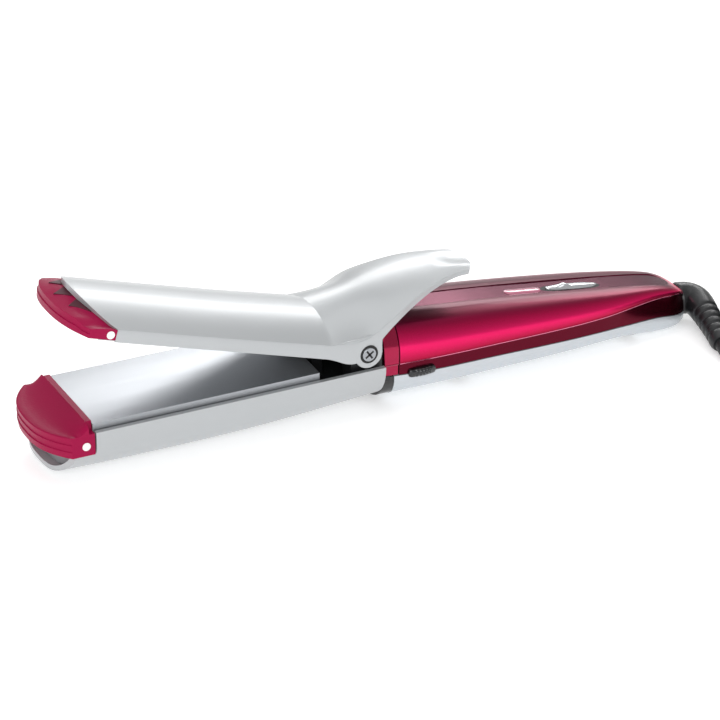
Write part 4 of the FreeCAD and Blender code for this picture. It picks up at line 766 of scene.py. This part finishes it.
# the ears that carry the hinge: a web under each side and a round eye about the pin
ear_outline = [(-17.5, 1.8), (-17.5, -3.4), (-12.0, -4.2)]
eye_radius = 5.8
ear_outline += [(eye_radius * math.cos(math.radians(a)), eye_radius * math.sin(math.radians(a)))
                for a in range(-150, 21, 9)]
ear_outline += [(4.6, 6.4), (2.0, 9.0), (-6.0, 5.5)]
for side in (-1, 1):
    name = "hinge_ear_%s" % ("right" if side < 0 else "left")
    ear_rings = []
    for y in (20.3, 23.96):
        ring = []
        for x, z in ear_outline:
            # above the foot the ear stays inside the shell, which narrows behind the hinge
            most = along(lever_line, max(x, -17.0))[0] - 0.05 if z > 1.0 else y
            ring.append(on_arm(x, side * min(y, most), z))
        ear_rings.append(ring)
    ear = shaded(lofted(name, ear_rings), silver, bevel=0.5)
    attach(ear, "upper_arm")
    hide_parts("upper_arm_shell")

# ---------------------------------------------------------------- pivot screws
# Flat steel heads with a cross slot, each in a dark ring; the ring and the slots are dark pieces of painted
# shade.
screw_steel = finish_of("screw_steel", "9fa2a6", 0.25, Metallic=1.0)
painted_slot_shade = finish_of("painted_slot_shade", "0b0b0c", 0.6)
wells = studs("pivot_wells", [from_hinge(0, side * 23.85, 0) for side in (-1, 1)],
              3.7, 0.45, painted_slot_shade, 0.08)
heads = studs("pivot_heads", [from_hinge(0, side * 24.05, 0) for side in (-1, 1)],
              2.8, 0.75, screw_steel, 0.3)
for piece in (wells, heads):
    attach(piece, "handle")
    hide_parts("pivot_screws")
for side in (-1, 1):
    tag = "right" if side < 0 else "left"
    for turn in (35, 125):
        a = math.radians(turn)
        u, v = (math.cos(a), math.sin(a)), (-math.sin(a), math.cos(a))
        corners = [(2.0 * u[0] * p + 0.38 * v[0] * q, 2.0 * u[1] * p + 0.38 * v[1] * q)
                   for p, q in ((-1, -1), (1, -1), (1, 1), (-1, 1))]
        groove_rings = [[from_hinge(x, side * y, z) for x, z in corners] for y in (24.3, 24.48)]
        groove = shaded(lofted("pivot_slot_%s_%d" % (tag, turn), groove_rings), painted_slot_shade)
        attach(groove, "handle")

# ---------------------------------------------------------------- upper end cap
# The matching cap on the upper arm, of the same plastic. Its slope runs in under the shell's
# edge, where it has three pointed recesses, and two pins hold it.
crease, crown = along(arm_line, -117.0)[2:]


def cap_slope(y):
    """At y: the front and end of the slope, and its height at each of them."""
    under = max(1.0, crease + (crown - crease) * (1 - (abs(y) / half_arm) ** 2.3) - 2.1)
    return -115.9 - bow(y), arm_front(y) + 3.0, min(2.5, under), under


def slope_height(y, u):
    """Height of the slope at a share u of its way back."""
    lip, under = cap_slope(y)[2:]
    return lip + (under - lip) * u + 0.5 * math.sin(math.pi * u)


def upper_cap_profile(y):
    """(x, z) round the cap at y: up the band, over the slope and down behind it."""
    front, end, lip, under = cap_slope(y)
    points = [(-101.7, -2.7)] + cap_front(-2.7, lip, front, 2)
    for k in range(1, 7):
        points.append((front + 0.3 + k / 6 * (end - front), slope_height(y, k / 6)))
    rear = -101.7 if abs(y) < 21.9 else -105.4
    points += [(rear, under), (rear, 0.0)]
    return [(min(x, rear), z) for x, z in points]


across = sorted([float(k) for k in range(-24, 25)] + [-21.95, -21.85, 21.85, 21.95])
cap_rings = [[on_arm(x, y, z) for x, z in upper_cap_profile(y)] for y in across]
upper_cap = shaded(lofted("upper_end_cap", cap_rings), raspberry, angle=28, bevel=0.12, steps=2)
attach(upper_cap, "upper_arm")
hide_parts("upper_tip")
# the recesses, as dark wedges laid into the slope: painted shade in place of hollows; each corner is (y,
# distance behind the edge)
painted_recess_shade = finish_of("cap_recess", "4a0a20", 0.55)
for number, y in enumerate((-11.0, 0.0, 11.0)):
    rings = []
    for lift in (-0.3, 0.45):
        ring = []
        for corner_y, behind in ((y - 4.0, 0.2), (y + 4.0, 0.2), (y + 1.2, -4.2)):
            x = arm_front(corner_y) + behind
            front, end, lip, under = cap_slope(corner_y)
            u = max(0.0, min(1.0, (x - front - 0.3) / (end - front)))
            ring.append(on_arm(x, corner_y, slope_height(corner_y, u) + lift))
        rings.append(ring)
    recess = shaded(lofted("upper_cap_recess_%d" % (number + 1), rings), painted_recess_shade)
    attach(recess, "upper_arm")
upper_pins = studs("upper_cap_pins", [on_arm(-107.7, side * 23.95, -0.8) for side in (-1, 1)],
                   1.55, 0.6, white_pin, 0.12)
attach(upper_pins, "upper_arm")
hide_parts("upper_tip_rivets")

# ---------------------------------------------------------------- handle
# Two moulded halves: a candy-red upper half with a ridge along each side, on a silver keel.
# (share of the length, share of the half width, heights of top, ridge, seam and foot)
handle_line = [(0, 1.01, 9.1, -7.8, -13.2, -25.4), (0.155, 1.0, 6.1, -8.8, -14.8, -25.7),
               (0.345, 0.975, 3.3, -9.3, -15.4, -25.8), (0.6, 0.875, -1.1, -10.3, -16.9, -25.8),
               (0.78, 0.745, -4.6, -10.6, -17.9, -25.9), (0.895, 0.64, -7.2, -11.6, -18.8, -28.2),
               (0.97, 0.575, -9.8, -13.8, -20.6, -28.2), (1.0, 0.54, -11.5, -15.4, -21.2, -27.2)]
handle_front, handle_length, handle_half = 7.0, 143.5, 20.8
handle_x = [(handle_front + share * handle_length, width * handle_half, top, ridge, seam, foot)
            for share, width, top, ridge, seam, foot in handle_line]
strip_half, strip_front, strip_rear = 5.5, 17.0, 146.0


def strip_reach(x):
    """Half the strip's width at x, with round ends."""
    end = min(x - strip_front, strip_rear - x)
    if end <= 0:
        return 0.0
    return strip_half * math.sqrt(1 - max(0.0, 1 - end / strip_half) ** 2)


def smooth(points, steps):
    """A rounded line through points."""
    line = []
    for k in range(len(points) - 1):
        p0, p1 = points[max(k - 1, 0)], points[k]
        p2, p3 = points[k + 1], points[min(k + 2, len(points) - 1)]
        for step in range(steps):
            u = step / steps
            line.append(tuple(0.5 * (2 * b + (c - a) * u + (2 * a - 5 * b + 4 * c - d) * u * u
                                     + (3 * b - a - 3 * c + d) * u ** 3)
                              for a, b, c, d in zip(p0, p1, p2, p3)))
    return line + [points[-1]]


def ridge_at(x):
    """(y, z) of the ridge. It climbs and draws in towards the rear end."""
    half, top, ridge = along(handle_x, x)[:3]
    climb = max(0.0, min(1.0, (x - 108.0) / 40.0)) ** 1.6
    return half * (1 - 0.22 * climb), ridge + (top - 1.2 - ridge) * 0.82 * climb


def upper_half(x):
    """(y, z) down the left side of the candy half, from the strip to the seam."""
    half, top, seam = [along(handle_x, x)[k] for k in (0, 1, 3)]
    edge, ridge = ridge_at(x)
    rise, reach = top - ridge, strip_reach(x)
    if reach > 0.1:
        points = [(0.0, top - 0.9), (reach - 0.05, top - 0.9), (reach, top - 0.3), (reach + 0.3, top)]
    else:
        points = [(0.0, top), (0.02, top), (0.04, top), (0.3, top)]
    points.append((reach + 0.8, top))
    arch = smooth([(0.45 * edge, top), (0.78 * edge, ridge + 0.83 * rise),
                   (0.955 * edge, ridge + 0.42 * rise), (edge, ridge)], 6)
    for k, (y, z) in enumerate(arch):
        swell = 0.5 * math.sin(math.pi * k / (len(arch) - 1))
        points.append((max(y + swell, reach + 1.0 + 0.1 * k), z + 0.4 * swell))
    # a bead along the ridge, made bright by a painted highlight, then the band tucked in below it
    points += [(edge + 0.15, ridge - 0.35), (edge - 0.1, ridge - 0.8), (edge - 0.7, ridge - 1.0)]
    tuck = edge - 0.7
    for k in range(1, 7):
        u = k / 6
        y = tuck - 0.1 * u
        if half - edge > 0.3:
            y = tuck + (half - 0.9 - tuck) * math.sin(math.pi / 2 * u)
        points.append((y, ridge - 1.0 + (seam + 0.2 - ridge + 1.0) * u))
    return points


def lower_half(x):
    """(y, z) under the seam, down the left side of the silver half."""
    half, seam, foot = [along(handle_x, x)[k] for k in (0, 3, 4)]
    band, deep = half - 0.8, seam - foot
    arch = smooth([(band, seam - 0.2), (band * 0.99, seam - 0.3 * deep),
                   (0.86 * band, seam - 0.68 * deep), (0.5 * band, seam - 0.95 * deep), (0.0, foot)], 6)
    return [(y, max(z, ground)) for y, z in arch]


def drawn_in(x):
    """Share of its size that the section keeps near the rear end, which is rounded."""
    return 1 - 0.30 * max(0.0, (x - 140.0) / 10.5) ** 2.5


def mirrored(section):
    """The whole section from its left half, which starts on the middle plane."""
    return [(-y, z) for y, z in section[:0:-1]] + section


def handle_grid(section, front, rear, steps, inset):
    """Rows of points along the handle; inset moves the skin in towards the middle."""
    grid = []
    for step in range(steps + 1):
        x = front + (rear - front) * step / steps
        heights = along(handle_x, x)[1:]
        middle = (heights[0] + heights[-1]) / 2
        row = []
        for wide, high in section(x):
            y, z = wide * drawn_in(x), high
            # the flat underside keeps its height
            if high >= -20:
                z = swivel_low + (high - swivel_low) * (0.35 + 0.65 * drawn_in(x))
            if inset:
                far = math.hypot(y, z - middle)
                y, z = y * (1 - inset / far), middle + (z - middle) * (1 - inset / far)
            row.append((x, y, z))
        grid.append(row)
    return grid


candy = bpy.data.materials.new("candy_red")
candy.use_nodes = True
wires = candy.node_tree
gloss = wires.nodes["Principled BSDF"]
gloss.inputs["Metallic"].default_value = 0.92
gloss.inputs["Roughness"].default_value = 0.34
gloss.inputs["Coat Weight"].default_value = 0.1
gloss.inputs["Coat Roughness"].default_value = 0.04
place, towards, painted_light_ramp, flake, sparkle = [wires.nodes.new(kind) for kind in (
    "ShaderNodeTexCoord", "ShaderNodeAttribute", "ShaderNodeValToRGB", "ShaderNodeTexNoise", "ShaderNodeMix")]
towards.attribute_name = "towards_ridge"
# the ramp paints light and shade on the candy panel: painted shade along the strip edge, a painted highlight
# in the middle of the shoulder, and a less bright tone at the ridge
painted_light_ramp.color_ramp.elements[0].color = tint("4a0620")
painted_light_ramp.color_ramp.elements[1].color = tint("a80f3a")
for share, shade in ((0.12, "7c0c36"), (0.30, "b80f4a"), (0.62, "f21c68")):
    painted_light_ramp.color_ramp.elements.new(share).color = tint(shade)
sparkle.data_type, sparkle.blend_type = "RGBA", "OVERLAY"
sparkle.inputs["Factor"].default_value = 0.25
flake.inputs["Scale"].default_value = 3200.0
wires.links.new(towards.outputs["Fac"], painted_light_ramp.inputs["Fac"])
wires.links.new(place.outputs["Object"], flake.inputs["Vector"])
wires.links.new(painted_light_ramp.outputs["Color"], sparkle.inputs["A"])
wires.links.new(flake.outputs["Fac"], sparkle.inputs["B"])
wires.links.new(sparkle.outputs["Result"], gloss.inputs["Base Color"])
band_gloss = finish_of("band_gloss", "5c0820", 0.24, spread=0.03, depth=0.0, Metallic=0.97, Coat_Weight=0.08,
                       Coat_Roughness=0.03)


def handle_piece(name, section, front, rear, steps, material):
    """A moulding with a 2.2 mm wall that follows section from front to rear."""
    skins = [[[from_hinge(*p) for p in row] for row in handle_grid(section, front, rear, steps, inset)]
             for inset in (0.0, 2.2)]
    return shaded(slab(name, *skins), material, angle=40)


def full_upper(x):
    return mirrored(upper_half(x))


def full_lower(x, share=1.0):
    """The whole lower section, with its width at a share of the real one."""
    left = [(share * y, z) for y, z in lower_half(x)]
    return [(-y, z) for y, z in left] + left[-2::-1]


upper_shell = handle_piece("handle_upper", full_upper, 14.7, 150.0, 136, candy)
mesh = upper_shell.data
share_of = mesh.attributes.new("towards_ridge", "FLOAT", "POINT")
mesh.materials.append(band_gloss)
# a lighter pink that paints a highlight along the ridge bead
painted_ridge_highlight = finish_of("painted_ridge_highlight", "e8799c", 0.25, spread=0.03, depth=0.0, Metallic=0.8)
mesh.materials.append(painted_ridge_highlight)
# towards_ridge runs from the top down to the ridge and places the painted shade and highlight of the candy
# ramp
for vertex in mesh.vertices:
    x, y, z = (vertex.co - hinge) / MM
    top, ridge = along(handle_x, x)[1], ridge_at(x)[1]
    share_of.data[vertex.index].value = max(0.0, min(1.0, (top - z) / max(0.5, top - ridge)))
# the band below the ridge is another finish of the same moulding; the bead's faces carry a painted highlight
# in a lighter pink
for face in mesh.polygons:
    spot = (face.center - hinge) / MM
    below = ridge_at(spot.x)[1] - spot.z
    face.material_index = 1 if below > 0.62 else 2 if below > 0.30 else 0
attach(upper_shell, "handle")
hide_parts("handle_upper_shell")

collar_red = finish_of("collar_red", "a00d3e", 0.16, spread=0.03, depth=0.0, Metallic=0.92, Coat_Weight=0.4,
                       Coat_Roughness=0.03)
collar = handle_piece("handle_collar", full_upper, 8.0, 14.4, 8, collar_red)
edge = collar.modifiers.new("eased_edges", "BEVEL")
edge.width, edge.segments, edge.limit_method = 0.5 * MM, 3, "ANGLE"
edge.angle_limit = math.radians(60)
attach(collar, "handle")
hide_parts("front_collar")

keel = finish_of("silver_keel", "c4cacf", 0.26, spread=0.05, scale=2600.0, depth=0.01, shade=0.02,
                 Metallic=0.45, Coat_Weight=0.5, Coat_Roughness=0.08)
lower_handle = handle_piece("handle_keel", full_lower, 12.6, 150.0, 120, keel)
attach(lower_handle, "handle")
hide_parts("handle_lower_shell")

# a gloss black band sets the keel off from the lower arm
band_black = finish_of("band_black", "0c0b0d", 0.18, Coat_Weight=0.4)
front_band = handle_piece("hinge_band", lambda x: full_lower(x, 0.985), 7.6, 12.5, 6, band_black)
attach(front_band, "handle")

# four countersunk screws join the halves from below, each in a shallow well, a dark disc of painted shade
screws_low, screws_high = [(corner - hinge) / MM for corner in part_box("handle_screws")]


def on_keel(x, y, out):
    """A point that stands out of the keel's underside at x and y."""
    line = lower_half(x)
    for a, b in zip(line, line[1:]):
        if b[0] <= abs(y) <= a[0]:
            share = (a[0] - abs(y)) / max(1e-6, a[0] - b[0])
            return from_hinge(x, y, a[1] + (b[1] - a[1]) * share - out)
    return from_hinge(x, y, line[-1][1] - out)


screw_rows = (("front", screws_low.x + 3.0, 10.0), ("rear", screws_high.x - 3.0, 8.0))
for row_name, x, y in [(name, x, side * y) for name, x, y in screw_rows for side in (-1, 1)]:
    tag = "%s_%s" % (row_name, "right" if y < 0 else "left")
    for kind, radius, height, paint in (("well", 3.2, 0.05, painted_slot_shade), ("screw", 2.5, 0.12, screw_steel)):
        levels = [(r, -0.6 if r == radius else height) for r in (radius, radius - 0.02, radius * 0.6, 0.05)]
        rings = [[on_keel(x + r * math.cos(a), y + r * math.sin(a), h) for a in bearings(24)]
                 for r, h in levels]
        piece = shaded(lofted("keel_%s_%s" % (kind, tag), rings), paint)
        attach(piece, "handle")
        if kind == "screw":
            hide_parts("handle_screws")

# ---------------------------------------------------------------- trim strip, lens and switch
# A glossy strip let into the top carries the pilot lens and the sliding switch.
strip_gloss = finish_of("strip_gloss", "5a082e", 0.20, spread=0.02, depth=0.0, Metallic=0.95,
                        Coat_Weight=0.08, Coat_Roughness=0.02)
straight_from, straight_to = 65.2, 116.1


def strip_top(x):
    """Height of the strip's face: with the handle's top, but straight under the switch."""
    ends = [along(handle_x, e)[1] for e in (straight_from, straight_to)]
    if straight_from < x < straight_to:
        return ends[0] + (ends[1] - ends[0]) * (x - straight_from) / (straight_to - straight_from) - 0.3
    return along(handle_x, x)[1] - 0.3


strip_rows, under_rows = [], []
for step in range(131):
    x = strip_front + 0.1 + (strip_rear - strip_front - 0.2) * step / 130
    wide = max(0.15, strip_reach(x) - 0.08)
    strip_rows.append([from_hinge(x, wide * u, strip_top(x)) for u in (-1, -0.5, 0, 0.5, 1)])
    under_rows.append([from_hinge(x, wide * u, strip_top(x) - 0.55) for u in (-1, -0.5, 0, 0.5, 1)])
strip = shaded(slab("top_strip", strip_rows, under_rows), strip_gloss, bevel=0.15)
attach(strip, "handle")
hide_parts("top_trim_strip")

knob_low, knob_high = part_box("switch_knob")
switch_line = (knob_low.y + knob_high.y) / 2 / MM


def boat(name, front, length, half, low, high, nib=0.0, ends=0.35):
    """A long button with pointed round ends that lies along the strip's straight stretch."""
    across_boat = (-1, -0.8, -0.4, 0, 0.4, 0.8, 1)
    rows, under = [], []
    for step in range(41):
        u = step / 40
        x = front + length * u
        tip = min(u, 1 - u) * length / (length * ends)
        wide = half * (1 if tip >= 1 else math.sqrt(max(0.0, 1 - (1 - tip) ** 2)))
        wide = max(wide, 0.12)
        bump = nib * math.exp(-((u - 0.36) / 0.07) ** 2)
        row = []
        for v in across_boat:
            dome = (high - low) * (1 - abs(v) ** 4) * (0.55 + 0.45 * min(1.0, tip * 1.5))
            height = strip_top(x) + low + dome + bump * (1 - v * v)
            row.append(from_hinge(x, switch_line + v * wide, height))
        rows.append(row)
        under.append([from_hinge(x, switch_line + v * wide, strip_top(x) - 0.1) for v in across_boat])
    return slab(name, rows, under)


# the gap round the switch is a dark sheet of painted shade
gap_piece = shaded(boat("switch_gap", 86.5, 27.0, 2.7, 0.0, 0.12, ends=0.2), painted_slot_shade)
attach(gap_piece, "handle")
lens_pink = finish_of("lens_pink", "f08aa8", 0.12, spread=0.0, depth=0.0, Transmission_Weight=0.35,
                      Coat_Weight=1.0)
lens = shaded(boat("pilot_lens", 70.2, 16.2, 2.3, 0.1, 0.6, ends=0.12), lens_pink, angle=50)
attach(lens, "handle")
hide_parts("indicator_lens")
chrome = finish_of("switch_silver", "d5d7da", 0.18, Metallic=0.9)
knob = shaded(boat("switch_slider", 88.9, 23.2, 2.3, 0.15, 1.2, nib=0.7, ends=0.42), chrome, angle=50)
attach(knob, "power_switch")
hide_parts("switch_knob")

# ---------------------------------------------------------------- jaw lock
# A ribbed black slider on the right side that holds the jaws shut.
lock_black = finish_of("lock_black", "101113", 0.25, Coat_Weight=0.4)
lock_low, lock_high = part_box("lock_slider")
lock_low, lock_high = (lock_low - hinge) / MM, (lock_high - hinge) / MM
heights = [(-1, -0.7), (-0.85, 0.6), (-0.4, 1.0), (0.4, 1.0), (0.85, 0.6), (1, -0.7)]
middle = (lock_low.z + lock_high.z) / 2
rows, under = [], []
for step in range(49):
    u = step / 48
    x = lock_low.x + 3.5 + (lock_high.x - lock_low.x - 4.5) * u
    end = min(u, 1 - u) * 12
    tall = 1.75 * (1 if end >= 1 else math.sqrt(1 - (1 - end) ** 2) * 0.75 + 0.25)
    proud = 0.5 + 1.3 * math.sin(math.pi * u) + (0.22 * math.sin(u * 16 * math.pi) if 0.2 < u < 0.8 else 0.0)
    rows.append([from_hinge(x, -20.6 - proud * max(w, -0.7), middle + v * tall) for v, w in heights])
    under.append([from_hinge(x, -18.5, middle + v * tall) for v, w in heights])
lock = shaded(slab("lock_button", rows, under), lock_black, angle=50)
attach(lock, "jaw_lock")
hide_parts("lock_slider")
